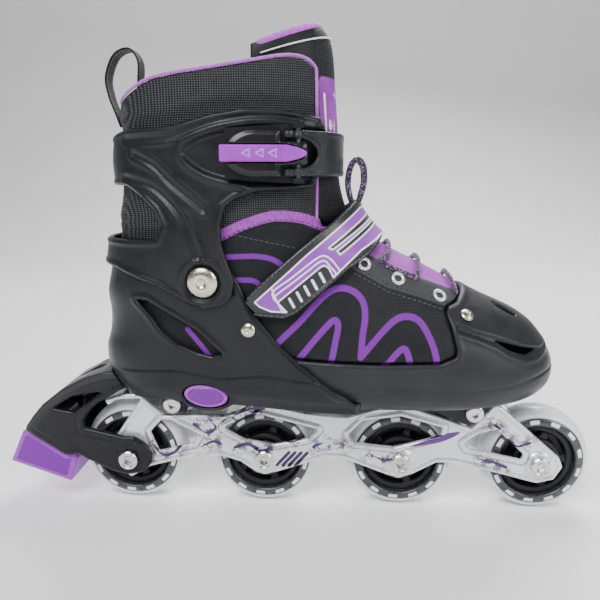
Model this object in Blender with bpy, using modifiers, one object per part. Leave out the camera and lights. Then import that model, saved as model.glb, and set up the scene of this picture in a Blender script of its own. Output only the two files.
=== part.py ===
"""Adjustable four-wheel inline skate for a right foot.

The toe points along +X, the buckle side along -Y and the wheels stand on z = 0. Every shape is drawn
from the middle of the wheel row, and one empty then moves the row so that the whole skate is centred
on the origin. Outlines are side views: (x, z) in millimetres.
"""
import math

import bmesh
import bpy
from mathutils import Matrix, Vector

MM = 0.001
ROW_SHIFT, SIDE_SHIFT = 24.5, 3.0  # mm from the middle of the skate's box to the middle of the wheel row

# Driving dimensions, in millimetres
WHEEL_STEP = 88.6  # from axle to axle
WHEEL_D = 70.0
WHEEL_W = 24.0
AXLE_Z = WHEEL_D / 2
FRAME_W = 34.0  # over both side plates
PLATE_T = 3.0
WEB_Z = 56.0  # underside of the webs that join the plates
BEARING_D, BEARING_W, BEARING_BORE = 22.0, 7.0, 8.0
SHELL_T = 3.0  # wall of the moulded boot parts
CLEAR = 0.4  # between pieces that touch or slide
TOE_OUT, TOE_IN = 0.0, -SHELL_T  # toe shell walls, outwards from the boot's envelope
REAR_OUT, REAR_IN = CLEAR + SHELL_T, CLEAR
CUFF_IN = REAR_OUT + CLEAR
CUFF_OUT = CUFF_IN + SHELL_T
LINER_OUT, LINER_T = -3.4, 5.6
FLOOR_Z, FLOOR_T = 80.0, 3.0  # underside and thickness of the boot's plastic floor
PIVOT = (-74.0, 158.0)  # the cuff's two rivets
BUTTON = (-76.5, 86.5)
SHELL_RIVET, TOE_RIVET = (-49.0, 130.0), (76.7, 138.1)
REAR_BOLT, FRONT_BOLT = (-102.0, 74.0), (89.0, 71.0)
LEVER_PIN = (-19.7, -48.8, 228.2)  # upright pin that the buckle's lever turns on
BUCKLE_TURN = 8.0  # degrees from the skate's length to the buckle, seen from above
BRAKE_FACE, BRAKE_UP = (-189.5, 44.6), (0.547, 0.837)  # middle of the brake pad's top, and its normal
BEARING_GAP_Y = WHEEL_W / 2 + CLEAR  # the frame's bosses end here, beside the bearings
AXLES = [(index - 1.5) * WHEEL_STEP for index in range(4)]

# The boot's envelope: where it ends behind and in front at each height, its half width in the heel
# and in the ball of the foot, and how long its rounded ends are. Each pair is (height, value).
ENDS_BEHIND = [(76, -131), (88, -137.5), (98, -142.5), (110, -143.6), (122, -140.5), (134, -139.5),
               (146, -140.5), (160, -137.6), (176, -135), (192, -131.5), (208, -128.5), (226, -129),
               (246, -126), (262, -124), (280, -121), (300, -119)]
ENDS_IN_FRONT = [(78, 112), (84, 128), (90, 134.5), (98, 137.5), (106, 137), (113, 134), (123, 128),
                 (131, 120), (137, 110), (141, 101), (145, 92), (150, 82), (156, 71), (164, 56),
                 (172, 39.5), (180, 25.5), (190, 16), (203, 9), (216, 6), (240, 5), (270, 3), (300, 0)]
HEEL_HALF = [(76, 20), (82, 27), (90, 33), (100, 36), (115, 37.5), (135, 38.5), (158, 41), (180, 41.5),
             (205, 40), (228, 40), (250, 40.5), (300, 40)]
BALL_HALF = [(78, 36), (82, 42), (88, 47), (94, 50), (102, 51), (115, 50.5), (130, 48.5), (150, 45),
             (180, 43), (205, 41), (300, 40)]
FRONT_ROUND = [(78, 72), (100, 78), (125, 90), (145, 112), (165, 120), (185, 85), (205, 72), (300, 70)]
BACK_ROUND = [(76, 45), (100, 46), (160, 58), (205, 62), (300, 60)]
LENGTHWISE, CROSSWISE = 2.3, 2.2  # exponents of the rounded ends
HEEL_X, BALL_X = -95.0, 15.0  # the half width changes from heel to ball between these

COLOURS = {  # colour, roughness, metallic
    "shell": ((0.022, 0.024, 0.027), 0.42, 0.0),
    "soft_black": ((0.028, 0.03, 0.034), 0.85, 0.0),
    "purple": ((0.36, 0.05, 0.62), 0.45, 0.0),
    "frame_paint": ((0.78, 0.77, 0.78), 0.32, 0.3),
    "steel": ((0.72, 0.70, 0.64), 0.25, 1.0),
    "tyre": ((0.80, 0.80, 0.78), 0.25, 0.0),
    "hub": ((0.02, 0.022, 0.025), 0.35, 0.0),
    "grey_plastic": ((0.42, 0.42, 0.43), 0.45, 0.0),
}

parts = bpy.data.collections.new("inline_skate")
cutters = bpy.data.collections.new("cutters")
for old in list(bpy.data.objects):
    bpy.data.objects.remove(old)
for collection in (parts, cutters):
    bpy.context.scene.collection.children.link(collection)


def material(name):
    made = bpy.data.materials.get(name)
    if made is None:
        made = bpy.data.materials.new(name)
        made.use_nodes = True
        colour, roughness, metallic = COLOURS[name]
        shader = made.node_tree.nodes["Principled BSDF"]
        shader.inputs["Base Color"].default_value = (*colour, 1)
        shader.inputs["Roughness"].default_value = roughness
        shader.inputs["Metallic"].default_value = metallic
    return made


def empty(name, x, y, z, parent=None):
    """An empty at a point given in millimetres from the middle of the wheel row."""
    made = bpy.data.objects.new(name, None)
    made.empty_display_size = 10 * MM
    parts.objects.link(made)
    made.location = Vector((x, y, z)) * MM
    if parent:
        made.parent = parent
        made.location -= parent.location
    return made


skate = bpy.data.objects.new("skate", None)
skate.location = (ROW_SHIFT * MM, SIDE_SHIFT * MM, 0)
parts.objects.link(skate)
PIVOTS = {
    "cuff": empty("cuff_axis", PIVOT[0], 0, PIVOT[1]),
    "lever": empty("lever_axis", *LEVER_PIN),
    "toe": empty("toe_slide", 60, 0, FLOOR_Z),
    "button": empty("button_slide", BUTTON[0], -38, BUTTON[1]),
}
PIVOTS.update({f"wheel_{i + 1}": empty(f"axle_{i + 1}", x, 0, AXLE_Z) for i, x in enumerate(AXLES)})
for pivot in PIVOTS.values():
    pivot.parent = skate


# Making and joining solids


def add(name, bm, look="shell", smooth_deg=40):
    """A named object of the part from a bmesh drawn in millimetres from the middle of the wheel row."""
    bmesh.ops.remove_doubles(bm, verts=bm.verts, dist=0.001)
    bmesh.ops.recalc_face_normals(bm, faces=bm.faces)
    mesh = bpy.data.meshes.new(name)
    bm.to_mesh(mesh)
    bm.free()
    mesh.transform(Matrix.Scale(MM, 4))
    mesh.shade_smooth()
    mesh.set_sharp_from_angle(angle=math.radians(smooth_deg))
    mesh.materials.append(material(look))
    made = bpy.data.objects.new(name, mesh)
    parts.objects.link(made)
    made.parent = skate
    return made


def hang(piece, pivot):
    """Puts a piece's origin on the axis that it moves about, without moving its shape."""
    target = PIVOTS[pivot]
    piece.data.transform(Matrix.Translation(-target.location))
    piece.parent = target
    return piece


def helper(piece):
    """Takes a solid out of the part, to cut or join with."""
    parts.objects.unlink(piece)
    cutters.objects.link(piece)
    piece.hide_render = True
    piece.display_type = "WIRE"
    return piece


def boolean(piece, operation, *others):
    for other in others:
        modifier = piece.modifiers.new(operation.lower(), "BOOLEAN")
        modifier.operation = operation
        modifier.object = helper(other)
    return piece


def join(piece, *others):
    return boolean(piece, "UNION", *others)


def cut(piece, *others):
    return boolean(piece, "DIFFERENCE", *others)


def keep_inside(piece, other):
    return boolean(piece, "INTERSECT", other)


def prism(name, outline, low_y, high_y, more=(), look="shell"):
    """A side view outline given depth from low_y to high_y. Further outlines are holes where they lie
    inside it, and pieces of their own elsewhere."""
    curve = bpy.data.curves.new(name, "CURVE")
    curve.dimensions = "2D"
    curve.fill_mode = "BOTH"
    curve.extrude = (high_y - low_y) / 2
    for points in (outline, *more):
        spline = curve.splines.new("POLY")
        spline.points.add(len(points) - 1)
        for point, (x, z) in zip(spline.points, points):
            point.co = (x, z, 0, 1)
        spline.use_cyclic_u = True
    guide = bpy.data.objects.new(name, curve)
    bpy.context.scene.collection.objects.link(guide)
    graph = bpy.context.evaluated_depsgraph_get()
    mesh = bpy.data.meshes.new_from_object(guide.evaluated_get(graph))
    bm = bmesh.new()
    bm.from_mesh(mesh)
    bpy.data.objects.remove(guide)
    bpy.data.meshes.remove(mesh)
    stand_up = Matrix.Translation((0, (low_y + high_y) / 2, 0)) @ Matrix.Rotation(math.pi / 2, 4, "X")
    bm.transform(stand_up)
    return add(name, bm, look)


def rounded(points, radius, steps=3):
    """The outline with each corner replaced by an arc of about this radius."""
    result = []
    count = len(points)
    for index, point in enumerate(points):
        here = Vector(point)
        before = Vector(points[index - 1]) - here
        after = Vector(points[(index + 1) % count]) - here
        reach = min(radius, 0.45 * before.length, 0.45 * after.length)
        start, end = here + before.normalized() * reach, here + after.normalized() * reach
        for step in range(steps + 1):
            t = step / steps
            result.append(tuple((1 - t) ** 2 * start + 2 * t * (1 - t) * here + t * t * end))
    return result


def circle(x, z, radius, count=16):
    turn = 2 * math.pi / count
    return [(x + radius * math.cos(i * turn), z + radius * math.sin(i * turn)) for i in range(count)]


def oval(x, z, half_x, half_z, tilt_deg=0, count=20):
    turn, tilt = 2 * math.pi / count, math.radians(tilt_deg)
    points = []
    for i in range(count):
        across, up = half_x * math.cos(i * turn), half_z * math.sin(i * turn)
        points.append((x + across * math.cos(tilt) - up * math.sin(tilt),
                       z + across * math.sin(tilt) + up * math.cos(tilt)))
    return points


def box(name, low, high, look="shell"):
    bm = bmesh.new()
    size = Vector(high) - Vector(low)
    bmesh.ops.create_cube(bm, size=1)
    bm.transform(Matrix.Translation((Vector(low) + Vector(high)) / 2) @ Matrix.Diagonal((*size, 1)))
    return add(name, bm, look)


def turned(name, profile, centre, axis="Y", steps=24, look="steel"):
    """A profile of (radius, height) pairs turned about an axis through centre. The heights run along
    the axis, and the profile runs from its top down its outer side."""
    mesh = bpy.data.meshes.new(name)
    closed = profile[0][0] > 0
    count = len(profile)
    edges = [(i, (i + 1) % count) for i in range(count if closed else count - 1)]
    mesh.from_pydata([(radius * MM, 0, height * MM) for radius, height in profile], edges, [])
    mesh.materials.append(material(look))
    made = bpy.data.objects.new(name, mesh)
    parts.objects.link(made)
    screw = made.modifiers.new("turn", "SCREW")
    screw.steps = screw.render_steps = steps
    screw.use_merge_vertices = True
    screw.merge_threshold = 0.00001
    screw.use_smooth_shade = True
    if axis != "Z":
        axis = Vector((0, 1, 0)) if axis == "Y" else axis
        made.rotation_euler = axis.to_track_quat("Z", "Y").to_euler()
    made.location = Vector(centre) * MM
    made.parent = skate
    return made


def rod(name, start, end, radius, count=12):
    """A plain cylinder between two points."""
    bm = bmesh.new()
    start, end = Vector(start), Vector(end)
    length = (end - start).length
    bmesh.ops.create_cone(bm, cap_ends=True, segments=count, radius1=radius, radius2=radius, depth=length)
    stand = (end - start).to_track_quat("Z", "Y").to_matrix().to_4x4()
    bm.transform(Matrix.Translation((start + end) / 2) @ stand)
    return add(name, bm)


def spin_with(piece, pivot):
    """Hangs a turned piece on the pivot that it moves with."""
    piece.parent = PIVOTS[pivot]
    piece.location -= PIVOTS[pivot].location
    return piece


def tube(name, points, radius, look, around=2, steps=3):
    """A round wire through points in millimetres, smoothed between them."""
    path = smooth_path(points, steps)
    curve = bpy.data.curves.new(name, "CURVE")
    curve.dimensions = "3D"
    curve.bevel_depth = radius * MM
    curve.bevel_resolution = around
    curve.use_fill_caps = True
    spline = curve.splines.new("POLY")
    spline.points.add(len(path) - 1)
    for point, place in zip(spline.points, path):
        point.co = (*(place * MM), 1)
    curve.materials.append(material(look))
    made = bpy.data.objects.new(name, curve)
    parts.objects.link(made)
    made.parent = skate
    return made


def smooth_path(points, steps=3):
    """Points along a Catmull-Rom curve through the given ones."""
    known = [Vector(point) for point in points]
    known = [2 * known[0] - known[1], *known, 2 * known[-1] - known[-2]]
    path = []
    for a, b, c, d in zip(known, known[1:], known[2:], known[3:]):
        for step in range(steps):
            t = step / steps
            path.append(0.5 * (2 * b + (c - a) * t + (2 * a - 5 * b + 4 * c - d) * t ** 2
                               + (3 * b - a - 3 * c + d) * t ** 3))
    path.append(known[-2])
    return path


def strip(name, path, across, thickness, look):
    """A flat strap: thickness grows outwards from a path drawn in one plane, with width across."""
    bm = bmesh.new()
    across = Vector(across)
    rows = []
    for index, point in enumerate(path):
        ahead = path[min(index + 1, len(path) - 1)] - path[max(index - 1, 0)]
        out = ahead.cross(across).normalized() * thickness
        rows.append([bm.verts.new(place) for place in
                     (point - across / 2, point + across / 2, point + across / 2 + out,
                      point - across / 2 + out)])
    for low, high in zip(rows, rows[1:]):
        for i in range(4):
            bm.faces.new((low[i], low[(i + 1) % 4], high[(i + 1) % 4], high[i]))
    bm.faces.new(rows[0])
    bm.faces.new(rows[-1])
    return add(name, bm, look)


# The boot's envelope


def at(table, where):
    """The value of a table of (place, value) pairs, on a smooth curve through them."""
    places = [place for place, _ in table]
    where = min(max(where, places[0]), places[-1])
    i = max(k for k in range(len(table) - 1) if places[k] <= where)

    def slope(k):
        if k in (0, len(table) - 1):
            k = min(k, len(table) - 2)
            return (table[k + 1][1] - table[k][1]) / (places[k + 1] - places[k])
        before, after = places[k] - places[k - 1], places[k + 1] - places[k]
        rise = (table[k][1] - table[k - 1][1]) / before * after + (table[k + 1][1] - table[k][1]) / after * before
        return rise / (before + after)

    step = places[i + 1] - places[i]
    t = (where - places[i]) / step
    return ((1 + 2 * t) * (1 - t) ** 2 * table[i][1] + t * (1 - t) ** 2 * step * slope(i)
            + t * t * (3 - 2 * t) * table[i + 1][1] + t * t * (t - 1) * step * slope(i + 1))


def half_width(x, z):
    t = min(max((x - HEEL_X) / (BALL_X - HEEL_X), 0), 1)
    t = t * t * (3 - 2 * t)
    return at(HEEL_HALF, z) * (1 - t) + at(BALL_HALF, z) * t


def straight_part(z):
    """Where the envelope's rounded ends start at one height, behind and in front."""
    back_x, front_x = at(ENDS_BEHIND, z) + at(BACK_ROUND, z), at(ENDS_IN_FRONT, z) - at(FRONT_ROUND, z)
    middle = (back_x + front_x) / 2
    return min(back_x, middle - 1.5), max(front_x, middle + 1.5)


def ring(z, grow, level=None, ends=6, middle=3):
    """One level of the envelope, moved outwards by grow. level is where it is drawn, if not at z."""
    behind, front = at(ENDS_BEHIND, z), at(ENDS_IN_FRONT, z)
    back_x, front_x = straight_part(z)
    side = []
    for i in range(ends):
        angle = math.pi / 2 * i / ends
        x = front_x + (front + grow - front_x) * math.cos(angle) ** (2 / LENGTHWISE)
        side.append((x, (half_width(x, z) + grow) * math.sin(angle) ** (2 / CROSSWISE)))
    for i in range(middle + 1):
        x = front_x + (back_x - front_x) * i / middle
        side.append((x, half_width(x, z) + grow))
    for i in range(1, ends + 1):
        angle = math.pi / 2 * (1 - i / ends)
        x = back_x - (back_x - behind + grow) * math.cos(angle) ** (2 / LENGTHWISE)
        side.append((x, (half_width(x, z) + grow) * math.sin(angle) ** (2 / CROSSWISE)))
    level = z if level is None else level
    outline = side + [(x, -y) for x, y in side[-2:0:-1]]
    return [Vector((x, y, level)) for x, y in outline]


def side_y(x, z, grow=0.0):
    """Half width of the envelope at one place, moved outwards by grow."""
    behind, front = at(ENDS_BEHIND, z) - grow, at(ENDS_IN_FRONT, z) + grow
    back_x, front_x = straight_part(z)
    along = max(0, (x - front_x) / (front - front_x), (back_x - x) / (back_x - behind))
    return (half_width(x, z) + grow) * max(0, 1 - along ** LENGTHWISE) ** (1 / CROSSWISE)


def front_x(y, z, grow=0.0):
    """How far forward the envelope reaches at one place, moved outwards by grow."""
    front = at(ENDS_IN_FRONT, z)
    start = straight_part(z)[1]
    x = front
    for _ in range(4):
        across = min(abs(y) / (half_width(x, z) + grow), 1)
        x = start + (front + grow - start) * (1 - across ** CROSSWISE) ** (1 / LENGTHWISE)
    return x


def outwards(x, z, side, grow=0.0):
    """A point on the side of the envelope, and the direction straight out of it."""
    y = side_y(x, z, grow)
    slope_x = side_y(x + 0.5, z, grow) - side_y(x - 0.5, z, grow)
    slope_z = side_y(x, z + 0.5, grow) - side_y(x, z - 0.5, grow)
    return Vector((x, side * y, z)), Vector((-slope_x, side, -slope_z)).normalized()


def bore_at(place, side, radius):
    """A cutter for a rivet's hole, square to the envelope."""
    point, out = outwards(*place, side)
    return rod("rivet_bore", point - 9 * out, point + 9 * out, radius)


def loft(name, rings, look="shell"):
    """A closed solid through rings of equal count, from the lowest to the highest."""
    bm = bmesh.new()
    rows = [[bm.verts.new(point) for point in points] for points in rings]
    for low, high in zip(rows, rows[1:]):
        for i in range(len(low)):
            j = (i + 1) % len(low)
            bm.faces.new((low[i], low[j], high[j], high[i]))
    bm.faces.new(rows[0][::-1])
    bm.faces.new(rows[-1])
    bmesh.ops.triangulate(bm, faces=[face for face in bm.faces if len(face.verts) > 4])
    return add(name, bm, look)


def envelope(name, levels, grow, look="shell", rise=0.0):
    """A solid of the envelope between levels, moved outwards by grow and, inside a roof, down by rise."""
    value = grow if callable(grow) else lambda z: grow
    return loft(name, [ring(z + rise, value(z), level=z) for z in levels], look)


def levels(low, high, count):
    return [low + (high - low) * i / (count - 1) for i in range(count)]


# Wheels


def make_wheel(number, x):
    """Tyre, hub, two bearings and the spacer between them; the axle bolt and its nut stay still."""
    centre, pivot = (x, 0, AXLE_Z), f"wheel_{number}"
    radius, half = WHEEL_D / 2, WHEEL_W / 2
    seat = radius - 10.6
    tyre = [(seat, half - 3), (radius - 7, half - 1.6), (radius - 4.5, half - 0.4),
            (radius - 1.8, half - 3.6),
            (radius - 0.4, half - 7.5), (radius, 0)]
    tyre += [(r, -h) for r, h in tyre[-2::-1]]
    spin_with(turned(f"tyre_{number}", tyre, centre, steps=28, look="tyre"), pivot)
    rim, bore = seat - CLEAR, BEARING_D / 2 + CLEAR / 2
    lip = half - BEARING_W
    hub = [(bore, half - 0.6), (bore + 2.6, half - 0.6), (bore + 4, half - 4), (rim - 3, half - 5.5),
           (rim - 1, half - 3.4), (rim, half - 3.4)]
    hub += [(r, -h) for r, h in hub[::-1]]
    hub += [(bore, -lip + 0.6), (bore - 2.4, -lip + 0.8), (bore - 2.4, lip - 0.8), (bore, lip - 0.6)]
    spin_with(turned(f"hub_{number}", hub, centre, steps=16, look="hub"), pivot)
    inner, outer = BEARING_BORE / 2 + CLEAR / 2, BEARING_D / 2 - CLEAR / 2
    for side, name in ((-1, "left"), (1, "right")):
        middle = side * (half - 0.2 - BEARING_W / 2)
        ring_profile = [(inner, BEARING_W / 2), (outer, BEARING_W / 2), (outer, -BEARING_W / 2),
                        (inner, -BEARING_W / 2)]
        bearing = turned(f"bearing_{number}_{name}", ring_profile, (x, middle, AXLE_Z), steps=20)
        spin_with(bearing, pivot)
    length = lip - 0.2 - CLEAR
    spacer = [(inner, length), (inner + 2, length), (inner + 2, -length), (inner, -length)]
    spin_with(turned(f"spacer_{number}", spacer, centre, steps=16), pivot)

    out = FRAME_W / 2 + CLEAR + (4.4 if number == 1 else 0)
    shank = BEARING_BORE / 2 - CLEAR / 2
    bolt = [(0, out + 3), (5.6, out + 3), (6.3, out + 2.2), (6.3, out), (shank, out), (shank, -out - 1),
            (0, -out - 1)]
    turned(f"axle_bolt_{number}", mirrored_profile(bolt), centre, steps=16)
    nut = [(shank + 0.3, out + 3), (6.3, out + 3), (6.3, out), (shank + 0.3, out)]
    turned(f"axle_nut_{number}", nut, centre, steps=12)


def mirrored_profile(profile):
    """The same turned profile with its head towards -Y, still running down its outer side."""
    return [(radius, -height) for radius, height in profile[::-1]]


# Frame


def make_frame():
    half = FRAME_W / 2
    inner = half - PLATE_T
    outline = [(-125, 79), (-136, 78), (-149, 74), (-148, 71), (-139, 74), (-125, 74.6), (-142, 50),
               (-147, 38),
               (-145, 26), (-134, 19), (-121, 27), (-95, 34), (-72, 36), (-60, 32), (-50, 25), (-44, 23.2),
               (-34, 26), (-4, 36.5), (8, 36), (34, 26), (44, 23), (54, 27), (68, 35), (78, 35), (93, 32),
               (132, 22), (143, 25), (148, 34), (145, 41), (107, 74), (102, 76), (88, 59.5), (68, 67),
               (42, 76), (10, 66), (2, 66), (-18, 68), (-49, 75), (-59, 69), (-69, 65), (-109, 64.5),
               (-118, 72)]
    windows = [rounded([(-119, 52), (-112, 60), (-106, 60), (-88, 51), (-91, 45), (-114, 39)], 3, 2),
               rounded([(-70, 56), (-54, 65), (-46, 65), (-10, 56), (-16, 50), (-38, 45.5), (-58, 49)], 5, 2),
               rounded([(11, 53), (20, 62.5), (44, 66), (70, 59), (69, 54), (40, 45.5), (14, 48)], 5, 2),
               rounded([(85, 49), (94, 55.5), (105, 58.5), (122, 42), (121, 39), (87, 46)], 3, 2)]
    frame = prism("frame", outline, -half, half, windows, "frame_paint")
    # The wheels turn between the plates, which webs join above and between the wheels
    rooms = [circle(x, AXLE_Z, WHEEL_D / 2 + 1.5, 32) for x in AXLES]
    cut(frame, prism("wheel_rooms", rooms[0], -inner, inner, rooms[1:]),
        box("wheel_channel", (-170, -inner, 0), (170, inner, WEB_Z)))
    bosses = [circle(x, AXLE_Z, 6.4) for x in AXLES]
    for low_y, high_y in ((-inner - 1, -BEARING_GAP_Y), (BEARING_GAP_Y, inner + 1)):
        join(frame, prism("axle_bosses", bosses[0], low_y, high_y, bosses[1:]))
    rear_upright = prism("rear_upright", [(-108, 63.5), (-108, 79), (-94, 79), (-94, 63.5)], -10, 10)
    front_upright = prism("front_upright", [(80, 53), (80, 76.5), (98, 76.5), (98, 53)], -10, 10)
    join(frame, rear_upright, front_upright)
    bores = [circle(x, AXLE_Z, BEARING_BORE / 2 + CLEAR / 2) for x in AXLES]
    bores += [circle(x, z, 3.3) for x, z in (REAR_BOLT, FRONT_BOLT)]
    cut(frame, prism("bores", bores[0], -60, 60, bores[1:]))
    return frame


def make_sole_plate():
    """The plate under the boot. Its front block sits between the frame's side plates and takes a bolt."""
    top, rail = FLOOR_Z - CLEAR, FRAME_W / 2 + CLEAR
    plate = prism("sole_plate", [(-92, top), (-92, 77.4), (66, 77.4), (66, top)], -27, 27)
    block = [(46, 77.6), (52, 76), (84, 63.2), (101, 77.2), (106, 78.4), (106, top), (46, top)]
    front = prism("front_block", block, -19, 19)
    channel = box("front_channel", (70, -10 - CLEAR, 50), (110, 10 + CLEAR, 77))
    above_rails = [(30, 70), (42, 76.4), (68, 67.4), (88, 59.9), (103, 76.6), (108, 74.6), (108, 50),
                   (30, 50)]
    join(plate, front)
    cut(plate, channel, prism("rail_clearance", above_rails, -rail, rail),
        prism("front_bore", circle(*FRONT_BOLT, 3.3), -60, 60))
    outline = rounded([(-13, 77), (-8, 69), (6, 69), (12, 77)], 3, 2)
    middle = prism("mid_block", outline, -24, 24, look="grey_plastic")
    above_rails = [(-52, 75.4), (-17, 68.4), (2, 66.4), (10, 66.4), (43, 76.4), (43, 50), (-52, 50)]
    cut(middle, prism("rail_clearance", above_rails, -rail, rail))


def make_rear_shell():
    """Heel cup with two arms that run forward, side windows, a heel slot and skirts over the frame."""
    shell = envelope("rear_shell", [FLOOR_Z, 84, 89, 95, 103, 112, 123, 135, 147, 160, 184], REAR_OUT)
    hollow = envelope("heel_room", [FLOOR_Z + FLOOR_T, 86, 90, 96, 104, 113, 124, 136, 148, 161, 190],
                      REAR_IN)
    outline = [(-155, 172), (-126, 172), (-104, 177), (-74, 177), (-61, 171), (-53, 154), (-47, 141.6),
               (-40.5, 133),
               (-31, 122.5), (-18.6, 111), (-2, 98.5), (7, 92.5), (16, 87), (16, 70), (-155, 70)]
    windows = [[(-115, 146), (-109, 145.5), (-80.5, 128.3), (-65, 114), (-71, 112.5), (-80, 114.8),
                (-91, 119.4),
                (-101, 127.6), (-108, 137.6)]]
    keep = prism("rear_outline", outline, -70, 70, windows)
    slot = box("heel_slot", (-160, -13, 116), (-128, 13, 125))
    skirt_outline = [(-114, 84), (-109, 75), (-103, 67), (-66, 67), (-52, 75), (-44, 80.5), (-44, 84)]
    skirt = prism("skirt", skirt_outline, -21.5, 21.5)
    boss = prism("button_boss", oval(*BUTTON, 17.5, 10, -6), -38.6, -28)
    rails = prism("rail_clearance_3", [(-127, 60), (-126, 80), (-118, 72.6), (-109, 66), (-69, 66.2),
                                       (-59, 69.6),
                                       (-47, 76.2), (-40, 60)], -FRAME_W / 2 - CLEAR, FRAME_W / 2 + CLEAR)
    channel = box("rear_channel", (-120, -10 - CLEAR, 60), (-40, 10 + CLEAR, 79.4))
    under = box("plate_room", (-94, -27 - CLEAR, 77), (30, 27 + CLEAR, FLOOR_Z - 0.05))
    pocket = prism("button_pocket", oval(*BUTTON, 14.4, 7.7, -6), -60, -29.2)
    bolt_hole = prism("rear_bore", circle(*REAR_BOLT, 3.3), -60, 60)
    cut(shell, hollow)
    keep_inside(shell, keep)
    join(shell, skirt, boss)
    cut(shell, slot, rails, channel, under, pocket, bolt_hole)
    cut(shell, prism("rivet_bores", circle(*PIVOT, 3.4), -70, 70, [circle(*SHELL_RIVET, 2.4)]))
    return shell


def make_toe_shell():
    toe = envelope("toe_shell", [FLOOR_Z, 83, 87, 92, 99, 106, 113, 120, 127, 134, 141, 147, 154], TOE_OUT)
    room = envelope("toe_room", [FLOOR_Z + FLOOR_T, 86, 89, 93, 99, 106, 113, 120, 127, 133, 139, 145, 151,
                                 159], TOE_IN, rise=2.6)
    outline = [(-24, 88), (-24, 112.5), (26, 111.5), (60, 112.5), (69, 117), (69.5, 122), (67, 131.5),
               (64.5, 139),
               (66, 142.4), (72, 144.5), (78, 152), (90, 160), (150, 160), (150, 70), (18, 70), (16, 88)]
    opening = rounded([(89, 121), (93, 125.5), (112, 120.5), (121, 117), (116, 113.5), (104, 115.5)], 2, 2)
    cut(toe, room)
    keep_inside(toe, prism("toe_outline", outline, -70, 70, [opening]))
    vents = []
    for sign in (-1, 1):
        vent = prism("toe_vent", oval(102, sign * 15, 7, 3.6, sign * 18), 120, 150)
        vent.data.transform(Matrix.Rotation(-math.pi / 2, 4, "X"))
        vents.append(vent)
    cut(toe, *vents)
    for side in (-1, 1):
        cut(toe, bore_at(TOE_RIVET, side, 2.4))
    return hang(toe, "toe")


def make_rivet(name, place, side, profile, grow, pivot=None, look="steel"):
    """A rivet square to the envelope. The profile's heights run outwards from the surface."""
    point, out = outwards(*place, side, grow)
    rivet = turned(name, profile, point, axis=out, steps=16, look=look)
    return spin_with(rivet, pivot) if pivot else rivet


def make_rivets():
    big = [(0, 2.4), (6.4, 2.3), (8.2, 1.4), (8.7, 0.6), (2.9, 0.6), (2.9, -7), (5.6, -7), (5.6, -8.6),
           (0, -8.6)]
    small = [(0, 1.8), (2.8, 1.5), (4.2, 0.5), (2, 0.5), (2, -3.5), (3.4, -3.5), (3.4, -4.6), (0, -4.6)]
    for side, name in ((-1, "right"), (1, "left")):
        make_rivet(f"pivot_rivet_{name}", PIVOT, side, big, CUFF_OUT, "cuff")
        make_rivet(f"shell_rivet_{name}", SHELL_RIVET, side, small, REAR_OUT)
        toe = [(0, 1.7), (2.6, 1.4), (4, 0.5), (2, 0.5), (2, -3.3), (0, -3.3)]
        make_rivet(f"toe_rivet_{name}", TOE_RIVET, side, toe, TOE_OUT, "toe")


def make_frame_bolts():
    for name, (x, z), out in (("rear", REAR_BOLT, 21.9), ("front", FRONT_BOLT, 19.4)):
        profile = [(0, out + 2.4), (5.4, out + 2.4), (5.4, out), (3, out), (3, -out), (6, -out),
                   (6, -out - 1.8), (5, -out - 2.6), (0, -out - 2.6)]
        turned(f"frame_bolt_{name}", profile, (x, 0, z), steps=16)


def make_cuff():
    cuff = envelope("cuff", [136, 148, 158, 168, 178, 190, 202, 214, 226, 238, 256], CUFF_OUT)
    room = envelope("cuff_room", [130, 148, 158, 168, 178, 190, 202, 214, 226, 238, 262], CUFF_IN)
    outline = [(-150, 238), (-132, 240), (-118, 242.4), (-100.6, 242.6), (-87.5, 243.8), (-65.4, 249.1),
               (-49, 251.6), (-28, 251.3), (-8.5, 248), (-5.2, 241.3), (-7.2, 217), (-13.7, 210), (-41, 208),
               (-54, 204.3), (-60.3, 199.5), (-62.7, 190.3), (-62.3, 178.9), (-59.7, 170.6), (-55.5, 159),
               (-57.6, 149), (-63.5, 143.7), (-73.5, 141.6), (-83.2, 145), (-99.6, 154.5), (-128.6, 163.8),
               (-150, 165.5)]
    cut(cuff, room)
    keep_inside(cuff, prism("cuff_outline", outline, -70, 70))
    opening = [(-160, 212), (-119, 211), (-109.4, 205), (-101, 197.6), (-97, 189), (-100.7, 181.6),
               (-118.6, 180.8), (-160, 181)]
    cut(cuff, prism("cuff_opening", opening, -70, 70), prism("pivot_bores", circle(*PIVOT, 3.4), -70, 70))
    return hang(cuff, "cuff")


def make_button():
    button = prism("push_button", rounded(oval(*BUTTON, 13.5, 7.2, -6), 2, 1), -39.4, -34.6, look="purple")
    hang(button, "button")
    turns, around = 2.5, 8
    coil = []
    for i in range(int(turns * around) + 1):
        angle = 2 * math.pi * i / around
        coil.append((BUTTON[0] + 4 * math.cos(angle), -33.6 + 3.6 * i / (turns * around),
                     BUTTON[1] + 4 * math.sin(angle)))
    tube("button_spring", coil, 0.5, "steel", around=1, steps=1)


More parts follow.
